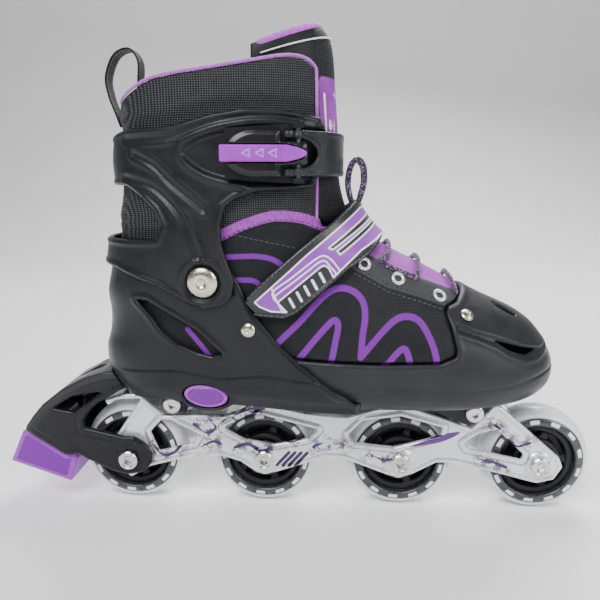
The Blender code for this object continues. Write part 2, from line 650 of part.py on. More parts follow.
def make_brake():
    """The heel brake: an arm that straddles wheel 1 on its axle bolt, the pad and the screw that holds it."""
    outline = [(-132, 95), (-147, 94), (-160, 90), (-175, 82), (-189, 71), (-196, 63), (-201, 56), (-202, 53),
               (-176, 36), (-167, 37), (-161, 33), (-156, 31), (-146, 26), (-135, 23), (-124, 25), (-118, 32),
               (-117, 39), (-123, 46), (-130, 50), (-136, 50), (-162, 56), (-162, 61), (-158, 67), (-152, 73),
               (-146, 76), (-137, 81.5), (-127, 86)]
    slot = rounded([(-183, 69), (-168, 78), (-147, 82), (-169, 66)], 3, 2)
    arm = prism("brake_arm", outline, -21.4, 21.4, [slot])
    half = FRAME_W / 2 + CLEAR
    straddle = box("straddle", (-172, -half, 0), (-100, half, 79.6))
    heel = envelope("heel_clearance", [79, 82, 88, 94, 100], REAR_OUT + CLEAR)
    up = Vector((BRAKE_UP[0], 0, BRAKE_UP[1]))
    face = Vector((BRAKE_FACE[0], 0, BRAKE_FACE[1]))
    cut(arm, straddle, heel, prism("bolt_bore", circle(AXLES[0], AXLE_Z, 4.2), -60, 60))
    cut(arm, rod("screw_bore", face - 3 * up, face + 14 * up, 2.7), rod("screw_head_bore", face + 12 * up,
                                                                        face + 40 * up, 4.9))
    pad_outline = [(-216, 29), (-206, 50.4), (-202, 52.3), (-177, 35.6), (-171, 35.6), (-170, 32),
                   (-175.5, 15)]
    pad = prism("brake_pad", pad_outline, -18, 18, look="purple")
    cut(pad, rod("pad_bore", face - 9 * up, face + 3 * up, 2.7))
    screw = [(0, 15.2), (4.4, 15.2), (4.4, 12.4), (2.3, 12.4), (2.3, -8), (0, -8)]
    turned("brake_screw", screw, face, axis=up, steps=12)


def at_buckle(piece):
    """Moves a piece drawn about the buckle's pin, with the skate's length along X, to its place."""
    place = Matrix.Translation(Vector(LEVER_PIN) * MM)
    piece.data.transform(place @ Matrix.Rotation(math.radians(BUCKLE_TURN), 4, "Z"))
    return piece


def make_buckle():
    outline = [(-39, -13), (-39, 13), (-9, 15.3), (2.6, 15.3), (2.6, 7.2), (-5, 7.2), (-5, -7.2), (2.6, -7.2),
               (2.6, -15.3), (-9, -15.3)]
    base = prism("buckle_base", outline, 3.1, 5.1)
    at_buckle(base)
    for low, high in ((-15.6, -12.9), (12.9, 15.6)):
        join(base, at_buckle(box("knuckle", (-3, -2.8, low), (3, 5, high))))
    cut(base, at_buckle(rod("pin_bore", (0, 0, -20), (0, 0, 20), 1.9)))
    hang(base, "cuff")

    pin = turned("lever_pin", [(0, 15.6), (1.5, 15.6), (1.5, -15.6), (0, -15.6)], LEVER_PIN, "Z", 12)
    spin_with(pin, "cuff")

    outline = [(-39.5, -5), (-37, -9.5), (-32, -12), (-23, -12.5), (-9.4, -12), (-9, -6.4), (3.6, -6.2),
               (5, -4), (5, 4), (3.6, 6.2), (-9, 6.4), (-9.4, 12), (-23, 12.5), (-32, 12), (-37, 9.5), (-39.5, 5)]
    lever = at_buckle(prism("buckle_lever", outline, -3.2, 2.8))
    channel = at_buckle(box("tab_channel", (-46, -6, -5.9), (10, -1.8, 5.9)))
    slot = at_buckle(box("tab_slot", (-35, -6, -2.3), (-25, 6, 2.3)))
    nose_room = at_buckle(box("nose_room", (3.2, 0.4, -9), (10, 6, 9)))
    cut(lever, channel, slot, nose_room, at_buckle(rod("pin_bore", (0, 0, -20), (0, 0, 20), 1.9)))
    hang(lever, "lever")

    outline = [(-43, -4), (-41.5, -5.5), (2.6, -5.5), (4.4, -3.5), (4.4, 3.5), (2.6, 5.5), (-41.5, 5.5),
               (-43, 4)]
    tab = at_buckle(prism("release_tab", outline, -4.2, -2.2, look="purple"))
    join(tab, at_buckle(box("tab_stem", (-29, -3, -1.9), (-26, 1.6, 1.9))))
    hang(tab, "lever")


def make_ankle_strap():
    """From a fork on the buckle's pin, round the front of the shin to the cuff's left side."""
    low, high = 216.2, 240.2
    middle = (low + high) / 2
    turn = math.radians(BUCKLE_TURN)
    path = []
    for along, inwards in ((-6, 1.2), (0, 1.2), (3.6, 1.6)):
        path.append((LEVER_PIN[0] + along * math.cos(turn) - inwards * math.sin(turn),
                     LEVER_PIN[1] + along * math.sin(turn) + inwards * math.cos(turn), middle))
    path += [(-12, -42.4, middle), (-3.4, -35.2, middle), (1.6, -25, middle), (3.6, -13, middle),
             (4, 0, middle),
             (3.6, 13, middle), (1.6, 24, middle)]
    path += [(x, side_y(x, middle, CUFF_OUT + CLEAR + 0.3), middle) for x in (-5, -14, -24, -36, -50)]
    strap = strip("ankle_strap", smooth_path(path, 2), (0, 0, high - low), 2.4, "shell")
    arms = [at_buckle(rod("fork_arm", (0, 0, a), (0, 0, b), 2.75)) for a, b in ((-12, -7), (7, 12))]
    join(strap, *arms)
    cut(strap, at_buckle(box("fork_gap", (-26, -9, -7), (7, 9, 7))),
        at_buckle(rod("pin_bore", (0, 0, -20), (0, 0, 20), 1.9)))
    return hang(strap, "cuff")


def make_instep_strap():
    strap = envelope("instep_strap", [130, 142, 154, 162, 170, 178, 186, 194, 208], 5.6, "soft_black")
    room = envelope("instep_room", [126, 142, 154, 162, 170, 178, 186, 194, 212], 3.6)
    outline = [(-50, 147.3), (-47.4, 152.5), (-41, 158.3), (-20.6, 176), (-1, 191.7), (12.1, 202.1),
               (40, 202.4),
               (40, 185), (30, 182.3), (22, 173.6), (7.2, 164.2), (-21.4, 140), (-28, 137.3), (-43, 138.4)]
    cut(strap, room)
    return keep_inside(strap, prism("instep_outline", outline, -70, 70))


def make_liner():
    """The soft boot: a lower part in the shell, a collar that moves with the cuff, a tongue and an insole."""
    def outside(z):
        return -7.7 if z < 114 else -3.4

    heights = [83.4, 88, 94, 102, 113.2, 114.3, 122, 131, 137, 143, 150, 158, 166, 174, 190]
    liner = envelope("liner", heights, outside, "soft_black", rise=3.2)
    room = envelope("liner_room", [88.2, 94, 102, 112, 122, 130, 136, 142, 150, 158, 166, 174, 196], -9.6,
                    rise=5.6)
    outline = [(-160, 178), (-74, 178), (-20, 172), (10, 170), (60, 190), (150, 190), (150, 70), (-160, 70)]
    cut(liner, room)
    keep_inside(liner, prism("liner_outline", outline, -70, 70))

    collar = envelope("liner_collar", [168, 178, 190, 202, 214, 226, 238, 256, 270, 290], CUFF_IN - CLEAR,
                      "soft_black")
    room = envelope("collar_room", [162, 178, 190, 202, 214, 226, 238, 256, 270, 299], -4)
    outline = [(-150, 181), (-74, 181), (-10, 187), (-10, 274), (-17, 278.5), (-27, 279.3), (-45, 276.2),
               (-72, 272.3), (-101, 268.6), (-124.5, 260), (-150, 252)]
    keep_inside(collar, prism("collar_outline", outline, -70, 70))
    cut(collar, room)
    hang(collar, "cuff")

    insole = envelope("insole", [88.6, 91.6], -10.0, "grey_plastic", rise=5.6)
    return liner, insole


def make_tongue():
    """A curved pad in front of the shin, with a rounded top."""
    fronts = [(222, 2), (241, 1.6), (262, 0), (280, -2), (298, -5), (304, -9)]
    centre, bottom, thick = -50.0, 222.0, 7.0
    bm = bmesh.new()
    angles = [math.radians(a) for a in (-86, -70, -52, -34, -17, 0, 17, 34, 52, 70, 86)]
    rows = 7
    grid = {}
    for layer in (0, 1):
        for i, angle in enumerate(angles):
            top = 287 + 16.5 * math.cos(angle)
            for j in range(rows):
                z = bottom + (top - bottom) * j / (rows - 1)
                inset = layer * thick
                x = centre + (at(fronts, z) - centre - inset) * math.cos(angle)
                y = (31.5 - inset) * math.sin(angle)
                grid[layer, i, j] = bm.verts.new((x, y, z - layer * (2.0 if j == rows - 1 else 0)))
    last, up = len(angles) - 1, rows - 1
    for i in range(last):
        for j in range(up):
            for layer in (0, 1):
                bm.faces.new([grid[layer, a, b] for a, b in ((i, j), (i + 1, j), (i + 1, j + 1), (i, j + 1))])
        for j in (0, up):
            bm.faces.new([grid[0, i, j], grid[0, i + 1, j], grid[1, i + 1, j], grid[1, i, j]])
    for j in range(up):
        for i in (0, last):
            bm.faces.new([grid[0, i, j], grid[0, i, j + 1], grid[1, i, j + 1], grid[1, i, j]])
    return hang(add("tongue", bm, "soft_black"), "cuff")


def make_pull_loop():
    path = [(-130.2, 246), (-133, 254), (-136.4, 264), (-137.5, 275), (-132, 287), (-123, 290.5),
            (-117.6, 284),
            (-118, 272), (-119.3, 256)]
    path = smooth_path([(x, 0, z) for x, z in path], 2)
    return hang(strip("pull_loop", path, (0, 12, 0), 1.6, "soft_black"), "cuff")


def make_laces():
    """One lace that runs across the instep between three pairs of eyelets."""
    eyelets = [(25.3, 148.9), (28.2, 158.8), (29.4, 167.6)]
    path = []
    for row, (half, z) in enumerate(eyelets):
        side = -1 if row % 2 == 0 else 1
        for step in range(9):
            t = side * (1 - step / 4)
            y, height = t * half, z + (1 - t * t) * 9
            path.append((front_x(y, height, 0.4), y, height))
    tube("laces", path, 1.5, "soft_black", around=1, steps=2)


for number, x in enumerate(AXLES, 1):
    make_wheel(number, x)
make_frame()
make_sole_plate()
make_rear_shell()
make_toe_shell()
make_rivets()
make_frame_bolts()
make_cuff()
make_button()
make_brake()
make_buckle()
make_ankle_strap()
make_instep_strap()
make_liner()
make_tongue()
make_pull_loop()
make_laces()
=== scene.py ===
"""Looks for the inline skate: shells, soft boot, wheels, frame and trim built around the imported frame.

Shapes are drawn in millimetres from the middle of the wheel row, as distance fields on a grid, and
turned into meshes. Outlines are side views: (x, z). make_mesh() turns millimetres into the frame's metres.
"""

import math

import bmesh
import bpy
import numpy as np
import openvdb
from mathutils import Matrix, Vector


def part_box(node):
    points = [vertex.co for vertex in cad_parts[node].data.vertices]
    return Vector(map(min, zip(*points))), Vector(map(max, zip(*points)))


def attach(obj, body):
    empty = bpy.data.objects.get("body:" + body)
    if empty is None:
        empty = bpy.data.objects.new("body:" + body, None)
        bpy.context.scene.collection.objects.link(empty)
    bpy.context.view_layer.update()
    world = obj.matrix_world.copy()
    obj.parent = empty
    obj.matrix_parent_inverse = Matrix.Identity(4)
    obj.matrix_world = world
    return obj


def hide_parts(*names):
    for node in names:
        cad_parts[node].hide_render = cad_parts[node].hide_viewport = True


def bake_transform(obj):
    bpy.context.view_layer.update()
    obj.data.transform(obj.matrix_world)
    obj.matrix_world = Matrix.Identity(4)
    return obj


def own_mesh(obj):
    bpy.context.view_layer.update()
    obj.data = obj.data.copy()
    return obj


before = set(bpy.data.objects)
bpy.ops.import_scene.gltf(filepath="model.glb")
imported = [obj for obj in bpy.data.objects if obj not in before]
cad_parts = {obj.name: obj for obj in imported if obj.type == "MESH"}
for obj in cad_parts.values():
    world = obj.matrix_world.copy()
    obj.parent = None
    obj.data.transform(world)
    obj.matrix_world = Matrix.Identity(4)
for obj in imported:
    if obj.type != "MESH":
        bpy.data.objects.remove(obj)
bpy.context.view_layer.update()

# The frame gives the scale and the place of everything: wheel 1 and wheel 4 hold the row of axles
MM = 0.001
first, last = (np.array(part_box(f"tyre_{n}")).mean(axis=0) for n in (1, 4))
ROW = (first + last) / 2 / MM  # middle of the wheel row, in mm
ROW[2] = 0.0
WHEEL_STEP = (last - first)[0] / MM / 3
AXLES = [(n - 1.5) * WHEEL_STEP for n in range(4)]
AXLE_Z = first[2] / MM


def spacing(fine):
    return fine


FINE = spacing(0.7)


def in_frame(point):
    """A point in mm from the middle of the wheel row, as metres in the frame."""
    return (Vector(point) + Vector(ROW)) * MM


# Camera, light and floor

CAMERA_PLACE = (-1.7, -362.7, 215.9)
CAMERA_TURN = [math.radians(angle) for angle in (90 - 12.05, 0.05, 3.12)]
LIGHTS = {"key": ((-0.5, -1.2, 1.5), 1.0, 46), "fill": ((1.3, -0.9, 0.8), 0.8, 16),
          "rim": ((0.3, 1.0, 1.4), 1.0, 30)}  # place in metres, size and power


def make_stage():
    camera = bpy.data.objects.new("camera", bpy.data.cameras.new("camera"))
    bpy.context.collection.objects.link(camera)
    camera.data.lens = 34.51
    camera.data.sensor_width = 36
    camera.location = in_frame(CAMERA_PLACE)
    camera.rotation_euler = CAMERA_TURN
    bpy.context.scene.camera = camera

    floor_mesh = bpy.data.meshes.new("floor")
    bm = bmesh.new()
    rows = []
    for i in range(25):  # a floor that curves up into a backdrop
        t = i / 24
        angle = math.radians(90) * max(0, (t - 0.5) / 0.5)
        y = 1.0 + 1.2 * math.sin(angle) if t > 0.5 else -2.5 + 3.5 * t / 0.5
        z = 1.2 * (1 - math.cos(angle)) if t > 0.5 else 0
        rows.append([bm.verts.new((x, y, z - 0.0004)) for x in (-4, 4)])
    rows.append([bm.verts.new((x, 2.2, 5)) for x in (-4, 4)])
    for low, high in zip(rows, rows[1:]):
        bm.faces.new((low[0], low[1], high[1], high[0]))
    bm.to_mesh(floor_mesh)
    bm.free()
    floor_mesh.shade_smooth()
    floor = bpy.data.objects.new("floor", floor_mesh)
    bpy.context.collection.objects.link(floor)
    floor_mesh.materials.append(plain_material("floor_paper", (0.93, 0.93, 0.94), 0.9))

    world = bpy.data.worlds.new("studio")
    bpy.context.scene.world = world
    world.use_nodes = True
    world.node_tree.nodes["Background"].inputs["Color"].default_value = (0.95, 0.97, 1.0, 1)
    world.node_tree.nodes["Background"].inputs["Strength"].default_value = 0.2
    for name, (place, size, power) in LIGHTS.items():
        light = bpy.data.objects.new(name, bpy.data.lights.new(name, "AREA"))
        light.data.size = size
        light.data.energy = power
        light.location = place
        aim = Vector((0, 0, 0.15)) - Vector(place)
        light.rotation_euler = aim.to_track_quat("-Z", "Y").to_euler()
        bpy.context.collection.objects.link(light)


# Materials


class Look:
    """A material being built: nodes are added by name, and values are wired or set."""

    def __init__(self, name, colour, rough, metal=0.0, coat=0.0, sheen=0.0):
        self.material = bpy.data.materials.new(name)
        self.material.use_nodes = True
        self.tree = self.material.node_tree
        self.shader = self.tree.nodes["Principled BSDF"]
        self.shader.inputs["Base Color"].default_value = (*colour, 1)
        self.shader.inputs["Roughness"].default_value = rough
        self.shader.inputs["Metallic"].default_value = metal
        self.shader.inputs["Coat Weight"].default_value = coat
        self.shader.inputs["Sheen Weight"].default_value = sheen
        self.shader.inputs["Specular IOR Level"].default_value = 0.5 if metal or coat else 0.2
        self.colour = colour
        self.height = None
        self.coords = self.add("ShaderNodeTexCoord").outputs["Object"]

    def add(self, kind, **inputs):
        node = self.tree.nodes.new(kind)
        for key, value in inputs.items():
            self.feed(node.inputs[key.replace("_", " ")], value)
        return node

    def feed(self, socket, value):
        if isinstance(value, bpy.types.NodeSocket):
            self.tree.links.new(value, socket)
        else:
            socket.default_value = value

    def math(self, operation, a, b=0.0, clamp=False):
        node = self.add("ShaderNodeMath")
        node.operation = operation
        node.use_clamp = clamp
        self.feed(node.inputs[0], a)
        self.feed(node.inputs[1], b)
        return node.outputs[0]

    def noise(self, scale, detail=3.0, rough=0.5, stretch=(1, 1, 1)):
        """Noise with this many blobs in a metre, stretched along the axes."""
        scaled = self.add("ShaderNodeVectorMath")
        scaled.operation = "MULTIPLY"
        self.feed(scaled.inputs[0], self.coords)
        scaled.inputs[1].default_value = stretch
        node = self.add("ShaderNodeTexNoise", Vector=scaled.outputs[0], Scale=scale, Detail=detail,
                        Roughness=rough)
        return node.outputs["Fac"]

    def ramp(self, value, low, high):
        node = self.add("ShaderNodeMapRange", Value=value, From_Min=low, From_Max=high)
        return node.outputs[0]

    def mask(self, name, soft=0.15, edge=0.0):
        """1 where the mesh's attribute, a distance in mm, lies below the edge."""
        node = self.add("ShaderNodeAttribute")
        node.attribute_name = name
        return self.ramp(node.outputs["Fac"], edge + soft, edge - soft)

    def attribute(self, name):
        node = self.add("ShaderNodeAttribute")
        node.attribute_name = name
        return node.outputs["Fac"]

    def mix(self, factor, a, b):
        node = self.add("ShaderNodeMix")
        node.data_type = "RGBA"
        self.feed(node.inputs["Factor"], factor)
        for socket, value in ((node.inputs[6], a), (node.inputs[7], b)):
            self.feed(socket, value if isinstance(value, bpy.types.NodeSocket) else (*value, 1))
        return node.outputs[2]

    def paint(self, factor, colour):
        """Lays a colour over what the base colour is so far."""
        socket = self.shader.inputs["Base Color"]
        before = socket.links[0].from_socket if socket.is_linked else tuple(socket.default_value)[:3]
        self.feed(socket, self.mix(factor, before, colour))
        return self

    def vary(self, amount, scale=60, stretch=(1, 1, 1)):
        """Lightens and darkens the colour a little."""
        value = self.noise(scale, 4, 0.6, stretch)
        light = tuple(min(1, c * (1 + amount) + 0.001) for c in self.colour)
        return self.paint(self.ramp(value, 0.35, 0.7), light)

    def vary_over(self, amount, scale=400):
        """Darkens whatever the colour is so far in small patches, as dirt and wear do."""
        before = self.shader.inputs["Base Color"].links[0].from_socket
        value = self.math("MULTIPLY", self.ramp(self.noise(scale, 4, 0.7), 0.5, 0.8), amount)
        self.feed(self.shader.inputs["Base Color"], self.mix(value, before, (0.02, 0.02, 0.02)))
        return self

    def roughen(self, low, high, scale=120, stretch=(1, 1, 1)):
        value = self.noise(scale, 4, 0.6, stretch)
        node = self.add("ShaderNodeMapRange", Value=value, From_Min=0.3, From_Max=0.7, To_Min=low,
                        To_Max=high)
        self.feed(self.shader.inputs["Roughness"], node.outputs[0])
        return self

    def bump(self, value, depth_mm, strength=1.0):
        """Adds a height. Further bumps build on the ones before."""
        node = self.add("ShaderNodeBump", Strength=strength, Distance=depth_mm * MM, Height=value)
        if self.height is not None:
            self.feed(node.inputs["Normal"], self.height)
        self.height = node.outputs["Normal"]
        self.feed(self.shader.inputs["Normal"], self.height)
        return self

    def weave(self, pitch_mm, depth_mm, dark=0.5, where=1.0, light=(0.2, 0.2, 0.2)):
        """Threads this far apart, crossing on the skew: a painted highlight on their crests, painted shade
        between them.
        """
        parts = self.add("ShaderNodeSeparateXYZ", Vector=self.coords).outputs
        turn = 2 * math.pi / (pitch_mm * MM)
        round_boot = self.math("ADD", parts["X"], self.math("MULTIPLY", parts["Y"], 0.8))
        waves = []
        for skew in (-0.8, 0.8):
            rise = self.math("MULTIPLY", parts["Z"], skew)
            phase = self.math("ADD", self.math("MULTIPLY", round_boot, 0.7), rise)
            waves.append(self.math("SINE", self.math("MULTIPLY", phase, turn)))
        product = self.math("MULTIPLY", waves[0], waves[1])
        self.bump(self.ramp(product, -1, 1), depth_mm, where)
        # painted shade: the hollows between threads are darkened to a quarter of the colour
        shaded_gaps = self.math("MULTIPLY", self.ramp(product, 0.2, -0.7), self.math("MULTIPLY", where, 1 - dark))
        self.paint(shaded_gaps, tuple(c * 0.25 for c in self.colour))
        # painted highlight: the thread crests take the light colour
        highlit_tops = self.math("MULTIPLY", self.ramp(product, 0.2, 0.9), self.math("MULTIPLY", where, 0.7))
        return self.paint(highlit_tops, light)


def plain_material(name, colour, rough):
    return Look(name, colour, rough).vary(0.02, 8).roughen(rough - 0.05, rough, 20).material


def plastic(name, colour, rough=0.38, grain=0.06, coat=0.0):
    """Moulded plastic: a fine spark texture, faint flow marks and handling scuffs."""
    look = Look(name, colour, rough, coat=coat)
    look.shader.inputs["Specular IOR Level"].default_value = 0.25
    look.vary(0.35, 45)
    look.roughen(rough - 0.07, rough + 0.1, 90)
    look.bump(look.noise(1600, 2), grain)
    look.bump(look.noise(60, 2), 0.25, 0.35)
    scuffs = look.ramp(look.noise(260, 6, 0.75, (1, 1, 0.25)), 0.66, 0.74)
    look.paint(look.math("MULTIPLY", scuffs, 0.15), tuple(c * 1.6 + 0.008 for c in colour))
    return look


def metal(name, colour, rough=0.25):
    look = Look(name, colour, rough, metal=1.0)
    look.vary(-0.15, 900)
    look.roughen(rough - 0.08, rough + 0.12, 700)
    look.bump(look.noise(2500, 2, 0.5, (1, 1, 1)), 0.03)
    return look


# Distance fields


def table(pairs, where):
    """Values of a (place, value) table on a smooth curve."""
    places, values = (np.array(column, float) for column in zip(*pairs))
    steps, rises = np.diff(places), np.diff(values) / np.diff(places)
    between = (rises[:-1] * steps[1:] + rises[1:] * steps[:-1]) / (steps[:-1] + steps[1:])
    slopes = np.concatenate([rises[:1], between, rises[-1:]])
    where = np.clip(where, places[0], places[-1])
    i = np.clip(np.searchsorted(places, where) - 1, 0, len(places) - 2)
    t = (where - places[i]) / steps[i]
    return ((1 + 2 * t) * (1 - t) ** 2 * values[i] + t * (1 - t) ** 2 * steps[i] * slopes[i]
            + t * t * (3 - 2 * t) * values[i + 1] + t * t * (t - 1) * steps[i] * slopes[i + 1])


# The boot's envelope, as in the CAD part
ENDS_BEHIND = [(76, -131), (88, -137.5), (98, -142.5), (110, -143.6), (122, -140.5), (134, -139.5),
               (146, -140.5), (160, -137.6), (176, -135), (192, -131.5), (208, -128.5), (226, -129),
               (246, -126), (262, -124), (280, -121), (300, -119)]
ENDS_IN_FRONT = [(78, 112), (84, 128), (90, 134.5), (98, 137.5), (106, 137), (113, 134), (123, 128),
                 (131, 120), (137, 110), (141, 101), (145, 92), (150, 82), (156, 71), (164, 56),
                 (172, 39.5), (180, 25.5), (190, 16), (203, 9), (216, 6), (240, 5), (270, 3), (300, 0)]
HEEL_HALF = [(76, 20), (82, 27), (90, 33), (100, 36), (115, 37.5), (135, 38.5), (158, 41), (180, 41.5),
             (205, 40), (228, 40), (250, 40.5), (300, 40)]
BALL_HALF = [(78, 36), (82, 42), (88, 47), (94, 50), (102, 51), (115, 50.5), (130, 48.5), (150, 45),
             (180, 43), (205, 41), (300, 40)]
FRONT_ROUND = [(78, 72), (100, 78), (125, 90), (145, 112), (165, 120), (185, 85), (205, 72), (300, 70)]
BACK_ROUND = [(76, 45), (100, 46), (160, 58), (205, 62), (300, 60)]
LENGTHWISE, CROSSWISE = 2.3, 2.2
HEEL_X, BALL_X = -95.0, 15.0


def smooth_step(t):
    t = np.clip(t, 0, 1)
    return t * t * (3 - 2 * t)


def envelope_level(x, y, z):
    """Grows evenly outwards from the boot's middle, and is 1 on its envelope."""
    behind, front = table(ENDS_BEHIND, z), table(ENDS_IN_FRONT, z)
    back_x, front_x = behind + table(BACK_ROUND, z), front - table(FRONT_ROUND, z)
    middle = (back_x + front_x) / 2
    back_x, front_x = np.minimum(back_x, middle - 1.5), np.maximum(front_x, middle + 1.5)
    blend = smooth_step((x - HEEL_X) / (BALL_X - HEEL_X))
    half = table(HEEL_HALF, z) * (1 - blend) + table(BALL_HALF, z) * blend
    along = np.maximum(np.maximum((x - front_x) / (front - front_x), (back_x - x) / (back_x - behind)), 0)
    return (along ** LENGTHWISE + (np.abs(y) / half) ** CROSSWISE) ** (1 / 2.25)


def envelope_at(points, reach=0.4):
    """Distance in mm from the envelope at points, and the direction straight out of it."""
    x, y, z = points.T
    level = envelope_level(x, y, z)
    slope = np.stack([envelope_level(x + dx, y + dy, z + dz) - envelope_level(x - dx, y - dy, z - dz)
                      for dx, dy, dz in np.eye(3) * reach], axis=1) / (2 * reach)
    steep = np.linalg.norm(slope, axis=1)
    return (level - 1) / steep, slope / steep[:, None]


def on_envelope(x, z, side=-1, grow=0.0):
    """The point on the boot's side at (x, z), moved outwards by grow, and the direction out there."""
    y = np.linspace(0, 70, 1401)
    points = np.stack([np.full_like(y, x), side * y, np.full_like(y, z)], axis=1)
    distance, _ = envelope_at(points)
    distance[0] = min(distance[0], grow - 1e-6)
    point = points[np.nonzero(distance <= grow)[0].max()]
    return point, envelope_at(point[None])[1][0]


class Grid:
    """A block of grid points in mm, and the fields on it."""

    def __init__(self, low, high, step):
        self.step = step
        self.low = np.array(low, float)
        counts = np.ceil((np.array(high) - self.low) / step).astype(int) + 1
        self.x = (self.low[0] + step * np.arange(counts[0]))[:, None, None]
        self.y = (self.low[1] + step * np.arange(counts[1]))[None, :, None]
        self.z = (self.low[2] + step * np.arange(counts[2]))[None, None, :]

    def envelope(self):
        level = envelope_level(self.x, self.y, self.z) - 1
        slopes = np.gradient(level, self.step)
        steep = np.sqrt(sum(slope * slope for slope in slopes))
        return level / np.maximum(steep, 0.004)

    def side_view(self):
        return np.broadcast_arrays(self.x[:, 0], self.z[0])

    def side(self, outline):
        """Distance from a side view outline, the same at every y."""
        return to_outline(*self.side_view(), outline)[:, None, :]

    def side_line(self, line):
        """Distance from a side view line, the same at every y."""
        return to_line(*self.side_view(), line)[:, None, :]

    def from_y_axis(self, x, z):
        """Distance from an axis that runs straight across the skate."""
        return np.sqrt((self.x - x) ** 2 + (self.z - z) ** 2)

    def mesh(self, name, field, place=None):
        """The surface where the field is 0, moved from the grid's own frame by place."""
        block = openvdb.FloatGrid(float(3 * self.step))
        block.copyFromArray(np.ascontiguousarray(np.clip(field, -3 * self.step, 3 * self.step), np.float32))
        points, quads = block.convertToQuads(isovalue=0.0)
        points = points * self.step + self.low
        if place is not None:
            points = points @ place[0].T + place[1]
        return make_mesh(name, points, quads[:, ::-1])


def to_outline(x, z, outline):
    """Signed distance from a closed outline, negative inside."""
    points = np.array(outline, float)
    best = np.full(x.shape, 1e9)
    inside = np.zeros(x.shape, bool)
    for (ax, az), (bx, bz) in zip(points, np.roll(points, -1, axis=0)):
        ex, ez = bx - ax, bz - az
        t = np.clip(((x - ax) * ex + (z - az) * ez) / (ex * ex + ez * ez + 1e-12), 0, 1)
        best = np.minimum(best, (x - ax - t * ex) ** 2 + (z - az - t * ez) ** 2)
        crosses = (az > z) != (bz > z)
        with np.errstate(divide="ignore", invalid="ignore"):
            inside ^= crosses & (x < ex * (z - az) / (ez if ez else 1e-12) + ax)
    return np.where(inside, -1, 1) * np.sqrt(best)


def to_line(x, z, line):
    """Distance from an open line of points in side view."""
    best = np.full(np.shape(x), 1e9)
    for (ax, az), (bx, bz) in zip(line, line[1:]):
        ex, ez = bx - ax, bz - az
        t = np.clip(((x - ax) * ex + (z - az) * ez) / (ex * ex + ez * ez + 1e-12), 0, 1)
        best = np.minimum(best, (x - ax - t * ex) ** 2 + (z - az - t * ez) ** 2)
    return np.sqrt(best)


def nearest(fields):
    """The smallest of several distances at each point."""
    return np.minimum.reduce(list(fields))


def nearest_curve(x, z, lines, steps=4):
    """Distance from the nearest of several curves in side view."""
    return nearest(to_line(x, z, curve_through(line, steps)) for line in lines)


def both(a, b, round_mm=0.0):
    """Where a and b overlap, with the edge between them rounded."""
    if not round_mm:
        return np.maximum(a, b)
    return np.maximum(a, b) + round_mm / 4 * np.clip(1 - np.abs(a - b) / round_mm, 0, 1) ** 2


def either(a, b, round_mm=0.0):
    return -both(-a, -b, round_mm)


def without(a, b, round_mm=0.0):
    return both(a, -b, round_mm)


def curve_through(points, steps=6, closed=False):
    """Points along a Catmull-Rom curve through the given ones, as an array."""
    known = np.array(points, float)
    if closed:
        known = np.vstack([known[-1], known, known[0], known[1]])
    else:
        known = np.vstack([2 * known[0] - known[1], known, 2 * known[-1] - known[-2]])
    path = []
    for a, b, c, d in zip(known, known[1:], known[2:], known[3:]):
        for t in np.arange(steps) / steps:
            path.append(0.5 * (2 * b + (c - a) * t + (2 * a - 5 * b + 4 * c - d) * t ** 2
                               + (3 * b - a - 3 * c + d) * t ** 3))
    if not closed:
        path.append(known[-2])
    return np.array(path)


def oval(x, z, half_x, half_z, tilt_deg=0, count=40):
    turn, tilt = np.linspace(0, 2 * np.pi, count, endpoint=False), math.radians(tilt_deg)
    across, up = half_x * np.cos(turn), half_z * np.sin(turn)
    return np.stack([x + across * math.cos(tilt) - up * math.sin(tilt),
                     z + across * math.sin(tilt) + up * math.cos(tilt)], axis=1)


# Meshes


def make_mesh(name, points, faces):
    """An object from points in mm, in the frame."""
    mesh = bpy.data.meshes.new(name)
    mesh.vertices.add(len(points))
    mesh.vertices.foreach_set("co", ((points + ROW) * MM).astype(np.float32).ravel())
    faces = np.asarray(faces, np.int32)
    mesh.loops.add(faces.size)
    mesh.loops.foreach_set("vertex_index", faces.ravel())
    mesh.polygons.add(len(faces))
    mesh.polygons.foreach_set("loop_start", np.arange(0, faces.size, faces.shape[1], dtype=np.int32))
    mesh.update(calc_edges=True)
    mesh.validate()
    mesh.shade_smooth()
    made = bpy.data.objects.new(name, mesh)
    bpy.context.collection.objects.link(made)
    return made


def points_of(piece):
    points = np.empty(len(piece.data.vertices) * 3, np.float32)
    piece.data.vertices.foreach_get("co", points)
    return points.reshape(-1, 3) / MM - ROW


def measure(piece, name, values):
    """Keeps a number at every point of the mesh for its material to read."""
    kept = piece.data.attributes.new(name, "FLOAT", "POINT")
    kept.data.foreach_set("value", np.asarray(values, np.float32))


def finish_piece(piece, look, body, *nodes, slot=None):
    """Gives a piece its material, the body that it moves with and the CAD nodes that it stands for."""
    piece.data.materials.append(look.material if isinstance(look, Look) else look)
    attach(piece, body)
    if nodes:
        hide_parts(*nodes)
    return piece


make_stage()


# Boot shells

REAR_EDGE = [(-160, 168), (-126, 170), (-104, 176), (-74, 177), (-61, 170), (-53, 155), (-47.4, 141.6),
             (-40.5, 133.3), (-31.2, 122.4), (-18.6, 111), (-2.1, 98.2), (7, 93), (14, 87), (15, 60),
             (-160, 60)]
SHELL_WINDOW = [(-115.7, 145.6), (-109, 145.5), (-80.5, 128.3), (-65.3, 114.4), (-71, 112.8), (-80, 114.8),
                (-91, 119.4), (-101, 127.6), (-108, 137.6)]
SKIRT_EDGE = [(-114, 86), (-109, 75), (-103, 67.5), (-66, 67.5), (-52, 75), (-44, 80.5), (-44, 86)]
RAIL_ROOM = [(-130, 50), (-126, 80), (-118, 72.8), (-109, 66.2), (-69, 66.4), (-59, 69.8), (-47, 76.4),
             (-38, 50)]
CREASE = [(-145, 99.5), (-126, 101), (-96.5, 102.7), (-67, 98.4), (-41, 102.5), (-18, 101)]
BUTTON = (-76.5, 86.5)
FRAME_HALF = 17.4
